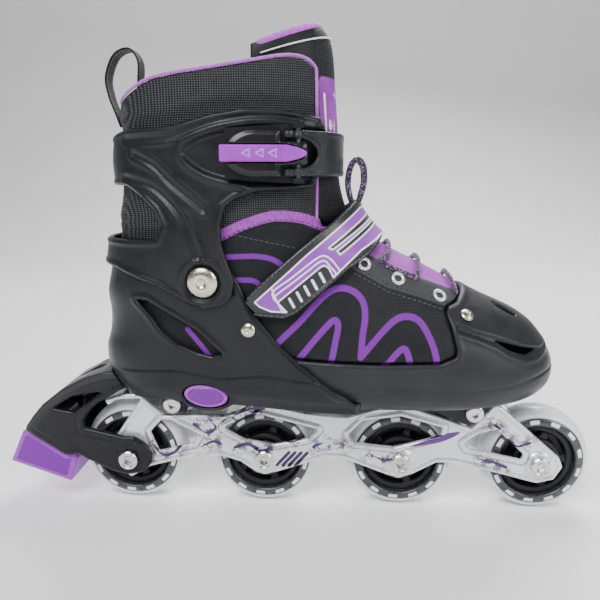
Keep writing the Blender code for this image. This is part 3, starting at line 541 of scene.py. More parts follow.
REAR_BOLT, FRONT_BOLT = (-102, 74), (89, 71)


def make_rear_shell():
    grid = Grid((-150, -58, 64), (20, 58, 178), FINE)
    shape = grid.envelope()
    x, z = grid.x, grid.z
    crease = np.interp(x, *np.array(CREASE).T)
    ledge = 0.9 * smooth_step((crease - z) / 2.5 + 0.5) * smooth_step((x + 145) / 20)
    window = grid.side(SHELL_WINDOW)
    rim = 0.8 * np.exp(-((window - 2.2) / 1.6) ** 2)
    edge = grid.side(REAR_EDGE)
    edge_rim = 0.7 * np.exp(-((edge + 3.0) / 1.5) ** 2) * (z > 90)
    wall = both(shape - 3.2 - ledge - rim - edge_rim, 0.5 - shape, 0.8)
    floor = both(shape - 3.2, np.abs(z - 81.5) - 1.5, 0.8)
    shell = both(either(wall, floor), 80.0 - z, 0.8)
    shell = both(shell, edge, 1.4)
    shell = without(shell, window, 1.2)
    slot = both(np.abs(grid.y) - 13, both(np.abs(z - 120.5) - 4.5, x + 128), 1)
    shell = without(shell, slot, 1)
    skirt = both(grid.side(SKIRT_EDGE), np.abs(grid.y) - 21.4, 2)
    rails = both(grid.side(RAIL_ROOM), np.abs(grid.y) - FRAME_HALF)
    channel = both(np.abs(grid.y) - 10.4, z - 79.4)
    under = both(both(np.abs(grid.y) - 27.4, z - 79.9), np.maximum(-94 - x, x - 30))
    shell = either(shell, skirt, 2)
    boss = both(grid.side(oval(*BUTTON, 17.2, 9.8, -6)), np.maximum(-38.6 - grid.y, grid.y + 28), 1.5)
    shell = either(shell, boss, 2)
    pocket = both(grid.side(oval(*BUTTON, 14.4, 7.8, -6)), grid.y + 29.4)
    for hole in (rails, channel, under, pocket):
        shell = without(shell, hole, 0.6)
    from_bolt = grid.from_y_axis(*REAR_BOLT)
    shell = without(shell, from_bolt - 3.2)
    recess = both(from_bolt - 7.6, 21.6 - np.abs(grid.y), 0.8)
    shell = both(without(shell, recess, 1.2), 64.6 - z)
    piece = grid.mesh("heel_shell_moulding", shell)
    look = plastic("heel_shell_plastic", (0.008, 0.009, 0.011), 0.32)
    finish_piece(piece, look, "chassis", "rear_shell", slot="shell")


CUFF_EDGE = [(-150, 238), (-132, 240), (-118, 242.4), (-100.6, 242.6), (-87.5, 243.8), (-65.4, 249.1),
             (-49, 251.6), (-28, 251.3), (-8.5, 248), (-5.2, 241.3), (-7.2, 217), (-13.7, 210), (-41, 208),
             (-54, 204.3), (-60.3, 199.5), (-62.7, 190.3), (-62.3, 178.9), (-59.7, 170.6), (-55.5, 159),
             (-57.6, 149), (-63.5, 143.7), (-73.5, 141.6), (-83.2, 145), (-99.6, 154.5), (-128.6, 163.8),
             (-150, 165.5)]
CUFF_OPENING = [(-170, 212), (-119, 211), (-109.4, 205), (-101, 197.6), (-97, 189), (-100.7, 181.6),
                (-118.6, 180.8), (-170, 181)]
CUFF_HOLLOW = [(-83, 229), (-74.8, 235.6), (-60.8, 239.6), (-40.4, 242.7), (-15.3, 240.8), (-2, 238),
               (-2, 215.5), (-40.9, 212.3), (-58.1, 214.8), (-73.7, 219.9)]
CUFF_RIM_LINE = [(-117.7, 236.6), (-90.8, 237.4), (-74.5, 242.1), (-60.6, 246.1), (-40.4, 248.1),
                 (-19.5, 246.5)]
CUFF_CREASES = [[(-112.8, 228.6), (-100.2, 222.4), (-91.2, 213.8), (-79.6, 204.4), (-72.5, 198.5)],
                [(-119.4, 215.6), (-101, 210.4), (-87, 197.5), (-80, 184.5), (-75.9, 172.2)]]
PIVOT = (-74.0, 158.0)


def make_cuff():
    grid = Grid((-142, -54, 138), (0, 54, 256), FINE)
    shape = grid.envelope()
    edge = grid.side(CUFF_EDGE)
    opening = grid.side(CUFF_OPENING)
    from_rim = np.minimum(-edge, opening)
    rim = 0.8 * np.exp(-((from_rim - 2.0) / 1.5) ** 2)
    seat = grid.side(curve_through(CUFF_HOLLOW, 5, closed=True))  # a pointed hollow that the buckle lies in
    hollow = 1.6 * smooth_step(0.5 - seat / 2.5) * (grid.y < 0) - 1.0 * np.exp(-((seat - 2.6) / 1.8) ** 2)
    for line, width in ((CUFF_RIM_LINE, 1.3), (CUFF_CREASES[0], 1.6), (CUFF_CREASES[1], 1.6)):
        away = grid.side_line(curve_through(line, 5))
        hollow = hollow + 0.7 * np.exp(-(away / width) ** 2) - 0.5 * np.exp(-((away - 3.2) / 1.5) ** 2)
    around = grid.from_y_axis(*PIVOT)
    cup = 0.9 * smooth_step((10.5 - around) / 1.5) - 0.7 * np.exp(-((around - 12.5) / 1.5) ** 2)
    wall = both(shape - 6.5 - rim + np.clip(hollow, -1.0, 1.6) + cup, 4.0 - shape, 0.8)
    cuff = without(both(wall, edge, 1.6), opening, 1.6)
    piece = grid.mesh("cuff_moulding", cuff)
    look = plastic("cuff_plastic", (0.009, 0.01, 0.012), 0.34)
    finish_piece(piece, look, "upper_cuff", "cuff", slot="shell")


TOE_EDGE = [(-24, 87.5), (-24, 112.5), (26, 111.5), (60, 112.5), (69, 116.3), (70, 119.5), (67, 131.5),
            (64.4, 139.3), (66.2, 142.6), (71.7, 144.3), (80, 152), (100, 170), (150, 170), (150, 70),
            (17, 70), (16, 87.5)]
TOE_RECESS = [(70, 133.6), (80, 129.4), (91.6, 126.1), (107.3, 120.3), (123.3, 116), (128.4, 116.6),
              (120, 113.4), (111.4, 113), (100.9, 116.6), (94.3, 121.2), (82, 126.6), (70, 130.4)]
TOE_OPENING = [(92, 124.2), (107.3, 119.3), (119, 116), (111.4, 114.4), (101.6, 118)]
TOE_GROOVE = [(16, 98.6), (26.7, 97.7), (54.8, 96.3), (74.4, 95.9), (102.4, 98.5), (127.9, 103), (140, 105)]


def make_toe_shell():
    grid = Grid((-26, -54, 79), (140, 54, 157), FINE)
    shape = grid.envelope()
    recess = grid.side(TOE_RECESS)
    groove = grid.side_line(TOE_GROOVE)
    outer = shape + 0.1 + 1.2 * smooth_step(-recess / 2 + 0.5) - 0.5 * np.exp(-((recess - 1.8) / 1.4) ** 2)
    outer = outer + 0.7 * np.exp(-(groove / 0.9) ** 2)
    edge = grid.side(TOE_EDGE)
    outer = outer - 0.3 * np.exp(-((edge + 2.2) / 1.3) ** 2) * (grid.z > 106)
    wall = both(outer, -3.0 - shape, 0.6)
    floor = both(shape, np.abs(grid.z - 81.5) - 1.5, 0.6)
    toe = both(both(either(wall, floor), 80.0 - grid.z, 1.0), edge, 1.2)
    toe = without(toe, grid.side(TOE_OPENING), 0.8)
    for side in (-1, 1):
        across = ((grid.x - 103) * math.cos(side * 0.35) + (grid.y - side * 15) * math.sin(side * 0.35))
        along = (-(grid.x - 103) * math.sin(side * 0.35) + (grid.y - side * 15) * math.cos(side * 0.35))
        vent = np.sqrt((across / 7.2) ** 2 + (along / 4.0) ** 2) - 1
        toe = without(toe, both(vent * 4, 128 - grid.z), 0.8)
    piece = grid.mesh("toe_shell_moulding", toe)
    look = plastic("toe_shell_plastic", (0.015, 0.016, 0.019), 0.38)
    finish_piece(piece, look, "toe", "toe_shell", slot="shell")


# Swept pieces


def round_section(radius, sides=10):
    turn = np.linspace(0, 2 * np.pi, sides, endpoint=False)
    return radius * np.stack([np.cos(turn), np.sin(turn)], axis=1)


def band_section(width, thick, sides=16):
    """A flat section with rounded edges."""
    turn = np.linspace(0, 2 * np.pi, sides, endpoint=False) + np.pi / sides
    across, out = np.cos(turn), np.sin(turn)
    return np.stack([np.sign(across) * np.abs(across) ** 0.35 * width / 2,
                     np.sign(out) * np.abs(out) ** 0.8 * thick / 2], axis=1)


def ring_faces(count, sides, closed=False):
    """Faces between rings of points, with a cap at both ends unless the last ring joins the first."""
    ring, step = np.meshgrid(np.arange(count if closed else count - 1), np.arange(sides), indexing="ij")
    here, ahead, after = ring * sides, (ring + 1) % count * sides, (step + 1) % sides
    faces = np.stack([here + step, here + after, ahead + after, ahead + step], axis=-1).reshape(-1, 4)
    if closed:
        return faces
    half = np.arange(sides // 2 - 1)
    cap = np.stack([half, sides - 1 - half, sides - 2 - half, half + 1], axis=1)
    return np.vstack([faces, cap, cap[:, ::-1] + (count - 1) * sides])


def sweep(name, path, section, across=None, closed=False, sizes=1.0):
    """A section drawn along points in mm. Its first direction stays near across, a vector or one a point."""
    path = np.asarray(path, float)
    along = np.roll(path, -1, 0) - np.roll(path, 1, 0) if closed else np.gradient(path, axis=0)
    along /= np.linalg.norm(along, axis=1)[:, None]
    if across is None:
        side = np.zeros_like(path)
        side[0] = np.cross(along[0], (0.3, 0.2, 1))
        for i in range(1, len(path)):
            side[i] = side[i - 1] - along[i] * np.dot(side[i - 1], along[i])
    else:
        side = np.broadcast_to(np.asarray(across, float), path.shape).copy()
    side -= along * np.sum(side * along, axis=1)[:, None]
    side /= np.linalg.norm(side, axis=1)[:, None]
    out = np.cross(side, along)
    sizes = np.broadcast_to(sizes, len(path))[:, None, None]
    in_section = side[:, None] * section[None, :, :1] + out[:, None] * section[None, :, 1:]
    rings = path[:, None] + sizes * in_section
    return make_mesh(name, rings.reshape(-1, 3), ring_faces(len(path), len(section), closed))


def join_pieces(name, pieces):
    """One object out of several meshes."""
    bm = bmesh.new()
    for piece in pieces:
        bm.from_mesh(piece.data)
        bpy.data.objects.remove(piece)
    mesh = bpy.data.meshes.new(name)
    bm.to_mesh(mesh)
    bm.free()
    mesh.shade_smooth()
    made = bpy.data.objects.new(name, mesh)
    bpy.context.collection.objects.link(made)
    return made


def walk(line, step):
    """Points a step apart along a line of points."""
    line = np.asarray(line, float)
    lengths = np.concatenate([[0], np.cumsum(np.linalg.norm(np.diff(line, axis=0), axis=1))])
    where = np.arange(0, lengths[-1] + 1e-6, lengths[-1] / max(1, round(lengths[-1] / step)))
    return np.stack([np.interp(where, lengths, column) for column in line.T], axis=1)


def along_boot(line, side, grow, step=2.0):
    """A side view line laid on the boot's surface, moved outwards by grow: points and their normals."""
    found = [on_envelope(x, z, side, grow) for x, z in walk(line, step)]
    return np.array([point for point, _ in found]), np.array([out for _, out in found])


def stitches(name, line, normals, thread=0.32, length=2.1, step=3.1):
    """Small stitches along a line, each sunk at its ends."""
    made = []
    places = walk(np.hstack([line, normals]), step)
    for here, ahead in zip(places, places[1:]):
        start, out = here[:3], here[3:] / np.linalg.norm(here[3:])
        along = (ahead[:3] - start) / np.linalg.norm(ahead[:3] - start)
        t = np.linspace(-1, 1, 5)[:, None]
        path = start + along * t * length / 2 + out * (0.1 - 0.3 * t * t)
        made.append(sweep(name, path, round_section(thread, 6), out, sizes=[0.45, 0.9, 1, 0.9, 0.45]))
    return join_pieces(name, made)


ANKLE_BEND = [in_frame((-74.0, 0, z)) for z in (165, 205)]
BOW_BEND = [in_frame((12, 0, z)) for z in (199, 222)]


def bend_at_ankle(piece, look, *nodes, slot=None, bend=ANKLE_BEND):
    """A soft piece that runs from the shell to the cuff: it gets its material, its transform is baked in, and
    the CAD nodes that it stands for are hidden.
    """
    piece.data.materials.append(look.material)
    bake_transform(piece)
    if nodes:
        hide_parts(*nodes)
    return piece


# Soft boot

PURPLE = (0.15, 0.014, 0.27)
LILAC = (0.33, 0.06, 0.42)
COLLAR_TOP = [(-140, 252), (-124.5, 260), (-101, 268.6), (-72, 272.3), (-45.4, 276.2), (-27, 279.3),
              (-17, 278.5), (-11.5, 274.4)]
COLLAR_FRONT = [(-10.5, 266), (-10, 196), (-7, 188)]
BOOT_EDGE = [(-160, 60), (-160, 246), *COLLAR_TOP, *COLLAR_FRONT, (60, 188), (150, 150), (150, 60)]
EYESTAY = [(11.5, 164.2), (30.6, 154), (50, 148), (67, 142.4), (77, 148), (67.8, 151), (39, 162),
           (21.8, 170.5), (6, 178), (0, 172)]
THROAT = [(-10, 188), (6, 178.4), (21.8, 170.8), (39, 162.3), (67.8, 151.4), (80, 148)]
ANKLE_BAND = [(-70, 181), (-64.6, 183.4), (-52, 189.5), (-37.4, 194.2), (-28.7, 194.7), (-18, 193.2),
              (-8.3, 189.5), (3, 184)]
SIDE_LINES = [[(-70, 171.2), (-48, 172.2), (-41, 171.8), (-34.5, 170.2), (-27, 165.5)],
              [(-62, 158), (-50.5, 158.6), (-45.5, 158), (-42.5, 156), (-40, 152.5)]]
ARCHES = [[(-42, 110), (-31.1, 123.2), (-19.9, 134.4), (-8.3, 147.5), (-0.5, 153.4), (6.3, 154.2),
           (13.1, 151.2), (17, 145.6), (17.7, 138), (16.5, 128.8), (15.5, 116)],
          [(15.5, 116), (26.7, 129.7), (34.4, 137), (41.2, 138.9), (48, 136.7), (52.9, 129.7),
           (56.8, 120.4), (60, 106)],
          [(-24, 108), (-12.2, 123.2), (-4.4, 132.5), (0.6, 136.9), (2.6, 133.4), (0.9, 123.2), (-2, 108)],
          [(26, 106), (34.4, 117.1), (39.8, 121.6), (42.7, 115.7), (44.5, 106)]]
VAMP = [(-12, 168), (10, 166), (30, 154), (66, 142), (66, 108), (-34, 108)]
WINDOW_STRIPE = [(-86, 128), (-78, 118), (-72.4, 110.5)]
COLLAR_FOOT = 182.0  # the padding starts to swell out here


def make_boot():
    """The padded boot: a leather and mesh lower part, and a thick collar above the ankle."""
    grid = Grid((-148, -58, 84), (92, 58, 288), spacing(1.0))
    shape = grid.envelope()
    x, z = grid.x, grid.z
    toe, cuff, stay = grid.side(TOE_EDGE), grid.side(CUFF_EDGE), grid.side(EYESTAY)
    throat = z - np.interp(x, *np.array(THROAT).T)
    arches = nearest_curve(*grid.side_view(), ARCHES)[:, None, :]
    outer = -4.2 + 3.7 * smooth_step((toe + 0.2) / 2.5)
    outer = outer + 0.9 * smooth_step(0.5 - stay / 1.2) * (throat < 1) - 0.9 * smooth_step(throat / 1.5)
    outer = outer + 0.35 * np.exp(-(arches / 2.4) ** 4) * (toe > 2)
    outer = outer + 3.4 * smooth_step((z - COLLAR_FOOT) / 13)
    outer = outer + 2.0 * smooth_step((cuff - 1.5) / 8) * (z > 240)
    inner = -9.0 + 4.0 * smooth_step((z - 180) / 20)
    boot = both(both(shape - outer, inner - shape, 1.0), grid.side(BOOT_EDGE), 3.5)
    boot = either(boot, both(both(shape + 6, np.abs(z - 86) - 2), grid.side(BOOT_EDGE)))
    boot = without(boot, both(grid.side(oval(*BUTTON, 16, 9.5, -6)), grid.y + 30), 0.8)  # room for the button
    piece = grid.mesh("soft_boot", both(boot, 84.2 - z))
    x, _, z = points_of(piece).T
    throat = np.interp(x, *np.array(THROAT).T) - z
    measure(piece, "arches", nearest_curve(x, z, ARCHES))
    stripe = to_line(x, z, WINDOW_STRIPE)
    measure(piece, "lines", np.minimum(nearest_curve(x, z, SIDE_LINES), stripe))
    band = curve_through(ANKLE_BAND, 4)
    measure(piece, "band", np.where(x < -68, 9, to_line(x, z, band)))
    measure(piece, "collar", np.interp(x, *np.vstack([band, [[60, 175]]]).T) - z)
    measure(piece, "stay", np.maximum(to_outline(x, z, EYESTAY), -throat))
    measure(piece, "throat", np.where(x < 8, 9, throat))
    in_arches = nearest(to_outline(x, z, curve_through(line, 4)) for line in ARCHES[:2])
    measure(piece, "vamp", np.maximum(to_outline(x, z, VAMP), -in_arches))

    look = Look("boot_fabric", (0.006, 0.0065, 0.008), 0.6, sheen=0.03)
    look.vary(0.5, 80)
    collar = look.mask("collar", 0.3)
    vamp = look.mask("vamp", 0.3, 0.2)
    mesh_zone = look.math("MAXIMUM", collar, look.math("MULTIPLY", vamp, 0.4))
    look.paint(collar, (0.014, 0.015, 0.018))
    # painted highlight on the thread crests in (0.1, 0.1, 0.11), and painted shade between the threads
    look.weave(1.9, 0.3, 0.15, mesh_zone, (0.1, 0.1, 0.11))
    look.bump(look.noise(700, 3), 0.12, look.math("SUBTRACT", 1.0, collar))
    look.paint(look.mask("throat", 0.4), LILAC)
    look.paint(look.mask("stay", 0.3), (0.04, 0.042, 0.046))
    look.paint(look.mask("lines", 0.25, 1.5), PURPLE)
    look.paint(look.mask("arches", 0.25, 1.8), PURPLE)
    band = look.mask("band", 0.25, 3.0)
    thread = look.noise(900, 2, 0.6, (1, 1, 0.3))
    look.paint(band, look.mix(look.ramp(thread, 0.4, 0.6), LILAC, tuple(c * 0.75 for c in LILAC)))
    look.bump(band, 0.5)
    look.roughen(0.45, 0.75, 300)
    bend_at_ankle(piece, look, "liner", "liner_collar", slot="soft_black")


def terry(name, colour):
    """Looped towelling: soft, bumpy, with a sheen."""
    look = Look(name, colour, 0.85, sheen=0.6)
    look.vary(0.6, 500)
    look.bump(look.noise(1300, 2), 0.5, 0.8)
    return look.bump(look.noise(300, 2), 0.6, 0.4)


def thread_look(name, colour):
    look = Look(name, colour, 0.6, sheen=0.3)
    look.vary(0.4, 900)
    return look.bump(look.noise(2500, 2, 0.5, (1, 1, 0.2)), 0.1)


def make_boot_trim():
    """Piping on the collar's edge, and the stitched seams."""
    edge = walk(curve_through([(-129, 257), *COLLAR_TOP[1:], (-10.6, 268), (-10.2, 230), (-10.2, 192)], 5),
                1.6)
    piping, lilac = [], terry("piping_fabric", LILAC)
    for side in (-1, 1):
        path = np.array([on_envelope(x, z, side, 1.2 + 2.6 * smooth_step((z - 246) / 10))[0]
                         for x, z in edge])
        piping.append(sweep("piping", path, round_section(0.85, 8)))
    piping = join_pieces("collar_piping", piping)
    bend_at_ankle(piping, lilac)
    grey = thread_look("grey_thread", (0.05, 0.05, 0.056))
    black = thread_look("black_thread", (0.006, 0.006, 0.007))
    dark = thread_look("dark_thread", (0.05, 0.012, 0.1))
    for name, line, grow, look in (
            ("band_stitches", [(x, z - 2.4) for x, z in ANKLE_BAND[1:]], 0.1, dark),
            ("panel_stitches", [(-56, 184), (-42, 181), (-30, 178.5), (-20, 176)], -0.4, grey),
            ("stay_stitches", [(12, 166.2), (30.6, 156), (50, 150), (68, 144.6)], 0.4, black),
            ("vamp_stitches", [(12, 162), (30.6, 151.8), (50, 145.8), (64, 141)], -0.3, grey)):
        pieces = []
        for side in (-1, 1):
            points, normals = along_boot(line, side, grow)
            lift = 3.4 * smooth_step((points[:, 2:] - COLLAR_FOOT) / 13)
            pieces.append(stitches(name, points + normals * lift, normals))
        bend_at_ankle(join_pieces(name, pieces), look)


TONGUE_FRONT = [(189.5, 12), (197, 8), (205, 5), (213, 3), (222, 2), (241, 1.6), (262, 0), (280, -2),
                (298, -5), (304, -9)]
TONGUE_X, TONGUE_HALF, TONGUE_LOW = -50.0, 31.5, 189.5


def tongue_point(angle, up, depth):
    """A point on the tongue: angle round the shin, up from 0 to 1, and depth in from its front face."""
    top = 286 + 16.5 * np.cos(angle)
    z = TONGUE_LOW + (top - TONGUE_LOW) * up
    reach = table(TONGUE_FRONT, z) - TONGUE_X - depth
    return np.stack([TONGUE_X + reach * np.cos(angle), (TONGUE_HALF - depth) * np.sin(angle), z], axis=-1)


def make_tongue():
    thick = 7.0
    turn = np.linspace(0, 2 * np.pi, 64, endpoint=False)
    up = 0.5 - 0.5 * np.sign(np.cos(turn)) * np.abs(np.cos(turn)) ** 0.5
    depth = thick / 2 + thick / 2 * np.sign(np.sin(turn)) * np.abs(np.sin(turn)) ** 0.55
    angles = np.radians(np.linspace(-86, 86, 90))
    points = np.stack([tongue_point(np.full_like(up, a), up, depth) for a in angles])
    puff = 1.0 * np.exp(-((up - 0.82) / 0.1) ** 2) * (depth < thick / 2)
    points[..., 0] += puff * np.cos(angles)[:, None]
    piece = make_mesh("boot_tongue", points.reshape(-1, 3), ring_faces(*points.shape[:2]))
    x, y, z = points_of(piece).T
    angle = np.arctan2(y / TONGUE_HALF, (x - TONGUE_X) / 50)
    across = angle * 38.0
    measure(piece, "front", np.abs(across) - 24)
    measure(piece, "print", np.maximum(np.abs(across) - 24, np.abs(z - 246) - 26))
    spots = np.full(len(x), 9.0)
    rings = np.full(len(x), 9.0)
    for i in range(9):
        place, level = -20 + 40 * (i % 3) / 2 + (5 if i // 3 % 2 else -3), 232 + 13.5 * (i // 3)
        size = 4.2 + 1.4 * ((i * 7) % 3)
        away = np.sqrt((across - place) ** 2 + ((z - level) / 1.3) ** 2)
        rings = np.minimum(rings, np.abs(away - size))
        spots = np.minimum(spots, away - size * 0.45)
    measure(piece, "rings", rings)
    measure(piece, "spots", spots)
    look = Look("tongue_fabric", (0.008, 0.0085, 0.01), 0.5)
    look.vary(0.4, 90)
    look.bump(look.noise(900, 3), 0.12)
    front = look.mask("front", 0.4)
    # painted highlight on the thread crests in (0.09, 0.09, 0.1), and painted shade between the threads
    look.weave(1.9, 0.25, 0.2, front, (0.09, 0.09, 0.1))
    panel = look.mask("print", 0.3)
    shade = look.mix(look.ramp(look.noise(45, 2), 0.35, 0.65), LILAC, (0.2, 0.03, 0.32))
    look.paint(panel, shade)
    look.paint(look.math("MULTIPLY", panel, look.mask("rings", 0.2, 0.8)), (0.86, 0.82, 0.9))
    look.paint(look.math("MULTIPLY", panel, look.mask("spots", 0.2)), (0.86, 0.82, 0.9))
    finish_piece(piece, look, "upper_cuff", "tongue", slot="soft_black")

    angles = np.radians(np.linspace(-84, 84, 70))
    rim = np.stack([tongue_point(a, 0.985, 3.4) for a in angles])
    taper = np.minimum(1, 0.4 + 6 * np.sin(np.linspace(0, np.pi, 70)))
    piping = sweep("tongue_piping", rim, round_section(2.5, 12), sizes=taper)
    finish_piece(piping, terry("tongue_piping_fabric", LILAC), "upper_cuff")
    seam = tongue_point(np.radians(np.linspace(-80, 80, 60)), 0.93, 0.0) + (0.35, 0, 0)
    pale = thread_look("tongue_thread", (0.75, 0.72, 0.8))
    finish_piece(sweep("tongue_seam", seam, round_section(0.45, 6)), pale, "upper_cuff")


def make_pull_loop():
    path = curve_through([(-130.2, 0, 246), (-133, 0, 254), (-136.4, 0, 264), (-137.5, 0, 275),
                          (-132, 0, 287),
                          (-123, 0, 290.5), (-117.6, 0, 284), (-118, 0, 272), (-119.3, 0, 258)], 6)
    loop = sweep("webbing_loop", path, band_section(12, 1.5, 24), (0, 1, 0))
    y = points_of(loop)[:, 1]
    measure(loop, "stripe", np.abs(y) - 2.2)
    measure(loop, "edges", np.abs(np.abs(y) - 4.2) - 0.35)
    look = Look("webbing", (0.008, 0.008, 0.01), 0.7, sheen=0.08)
    look.paint(look.mask("stripe", 0.2), PURPLE)
    look.paint(look.mask("edges", 0.15), (0.3, 0.3, 0.34))
    height = look.add("ShaderNodeSeparateXYZ", Vector=look.coords).outputs["Z"]
    look.bump(look.math("SINE", look.math("MULTIPLY", height, 2 * math.pi / (1.2 * MM))), 0.15)
    look.vary(0.5, 700)
    finish_piece(loop, look, "upper_cuff", "pull_loop", slot="soft_black")


def turned(name, profile, centre, out=(0, -1, 0), steps=36, closed=False, hexagons=()):
    """A turned shape from (radius, height) pairs that run from its top over its rim and down. The rings whose
    numbers are in hexagons are six-sided, for a socket."""
    out = np.array(Vector(out).normalized())
    side = np.cross(out, (0, 0, 1) if abs(out[2]) < 0.9 else (1, 0, 0))
    side /= np.linalg.norm(side)
    up = np.cross(out, side)
    turn = np.linspace(0, 2 * np.pi, steps, endpoint=False)
    six = 1 / np.cos((turn + np.pi / 6) % (np.pi / 3) - np.pi / 6)
    round_axis = np.cos(turn)[:, None] * side + np.sin(turn)[:, None] * up
    rings = []
    for number, (radius, height) in enumerate(profile):
        reach = radius * (six if number in hexagons else np.ones(steps))
        rings.append(np.array(centre) + out * height + reach[:, None] * round_axis)
    faces = np.roll(ring_faces(len(rings), steps, closed)[:, ::-1], 1, axis=1)
    piece = make_mesh(name, np.vstack(rings), faces)
    piece.data.set_sharp_from_angle(angle=math.radians(38))
    return piece


def keep_node(look, *nodes):
    """Gives CAD nodes that are already the right shape their material."""
    for node in nodes:
        mesh = bpy.data.objects[node].data
        mesh.materials.clear()
        mesh.materials.append(look.material)


# Straps and buckle

STRAP_EDGE = [(-50.5, 146.5), (-47.4, 152.5), (-41, 158.3), (-20.6, 176), (-1, 191.7), (12.1, 202.1),
              (40, 202.4), (40, 185), (30, 182.3), (22, 173.6), (7.2, 164.2), (-21.4, 140.5), (-28, 137.6),
              (-43, 138.4)]
STRAP_PRINT = [(-44.5, 146.9), (-14.9, 173.7), (15.5, 198.4), (40, 199), (40, 186), (29.8, 183.6),
               (15.4, 175.3), (3.9, 165.2), (-0.3, 161.2), (-2.9, 166.1), (-5.2, 167.7), (-7.5, 167),
               (-19.2, 157.5), (-31.6, 147.2), (-26.2, 141.8), (-35.2, 142), (-41.6, 144.4)]
STRAP_ARCHES = [[(-34, 153.2), (-25, 160), (-16, 167), (-9, 172), (-5, 172.8), (-1.3, 170.4), (1.2, 167.4),
                 (3.3, 164.1), (8, 150), (-20, 135), (-31.6, 147.2)],
                [(-33.1, 150.5), (-24, 157.6), (-15, 164.5), (-8.5, 169.4), (-5, 170), (-2.4, 167.2),
                 (1.4, 162.6), (6, 150), (-20, 135), (-31.6, 147.2)],
                [(-34.8, 155.1), (-33.1, 150.5), (-31.6, 147.2), (-20, 135), (-60, 135), (-60, 160)]]
STRAP_BARS = [[(-3.3, 177), (19.1, 194), (36, 198), (36, 194), (21.7, 191.8), (-0.8, 176.1)],
              [(1.5, 175.2), (22.3, 190.3), (36, 192), (36, 189), (24.1, 188.4), (3.4, 173.3)]]
STRAP_MARKS = [(-23.7, 147.3), (-19.4, 150.8), (-15.2, 154.2), (-11, 157.5), (-6.8, 161.3)]
STRAP_SEAMS = [[(-44, 140), (-28.6, 139.2), (-21.8, 142), (6.5, 165.8), (21, 175), (28, 182.6)],
               [(-48, 149.5), (-40.4, 156.8), (-20, 174.6), (-0.5, 190.1), (11, 199.6)]]


def make_instep_strap():
    grid = Grid((-54, -60, 134), (42, 60, 206), FINE)
    shape, edge = grid.envelope(), grid.side(STRAP_EDGE)
    welt = 0.35 * smooth_step((edge + 2.6) / 0.7) * smooth_step((-edge - 0.3) / 0.6)
    strap = both(both(shape - 5.75 - welt + 0.25 * smooth_step((edge + 4) / 4), 3.7 - shape, 0.5), edge, 1.4)
    piece = grid.mesh("instep_band", strap)
    x, _, z = points_of(piece).T
    shapes = {"print": to_outline(x, z, STRAP_PRINT),
              "arch_1": to_outline(x, z, curve_through(STRAP_ARCHES[0], 4, closed=True)),
              "arch_2": to_outline(x, z, curve_through(STRAP_ARCHES[1], 4, closed=True)),
              "tip": to_outline(x, z, STRAP_ARCHES[2]),
              "bars": nearest(to_outline(x, z, bar) for bar in STRAP_BARS),
              "marks": nearest(to_line(x, z, [(a - 1.1, b + 2.2), (a + 1.5, b - 2.4)])
                               for a, b in STRAP_MARKS),
              "edge": to_outline(x, z, STRAP_EDGE)}
    for name, values in shapes.items():
        measure(piece, name, values)
    look = Look("strap_fabric", (0.009, 0.009, 0.011), 0.42, coat=0.15)
    look.bump(look.noise(1100, 3), 0.08)
    look.paint(look.mask("edge", 0.2, -2.4), (0.014, 0.014, 0.018))
    shade = look.mix(look.ramp(look.noise(30, 2), 0.3, 0.7), (0.17, 0.016, 0.33), (0.27, 0.05, 0.44))
    look.paint(look.mask("print", 0.15), shade)
    rims = look.math("ABSOLUTE", look.attribute("arch_1"))
    for name in ("arch_2", "tip"):
        rims = look.math("MINIMUM", rims, look.math("ABSOLUTE", look.attribute(name)))
    rims = look.math("MAXIMUM", rims, look.attribute("print"))
    for name in ("print", "bars"):
        rims = look.math("MINIMUM", rims, look.math("ABSOLUTE", look.attribute(name)))
    look.paint(look.mask("bars", 0.12), (0.02, 0.02, 0.024))
    white = (0.84, 0.8, 0.9)
    look.paint(look.ramp(rims, 0.55, 0.32), white)
    look.paint(look.mask("marks", 0.15, 0.75), white)
    look.vary_over(0.12, 400)
    finish_piece(piece, look, "chassis", "instep_strap", slot="soft_black")
    pale = thread_look("strap_thread", (0.07, 0.07, 0.08))
    made = []
    for side in (-1, 1):
        for line in STRAP_SEAMS:
            points, normals = along_boot(line, side, 5.9)
            made.append(stitches("strap_stitches", points, normals, 0.3))
    finish_piece(join_pieces("strap_stitches", made), pale, "chassis")


LEVER_PIN = (-19.7, -48.8, 228.2)
TURN = math.radians(8)
AT_BUCKLE = (np.array([[math.cos(TURN), -math.sin(TURN), 0], [math.sin(TURN), math.cos(TURN), 0], [0, 0, 1]]),
             np.array(LEVER_PIN))


def from_buckle(x, y, z):
    return AT_BUCKLE[0] @ np.array((x, y, z)) + AT_BUCKLE[1]


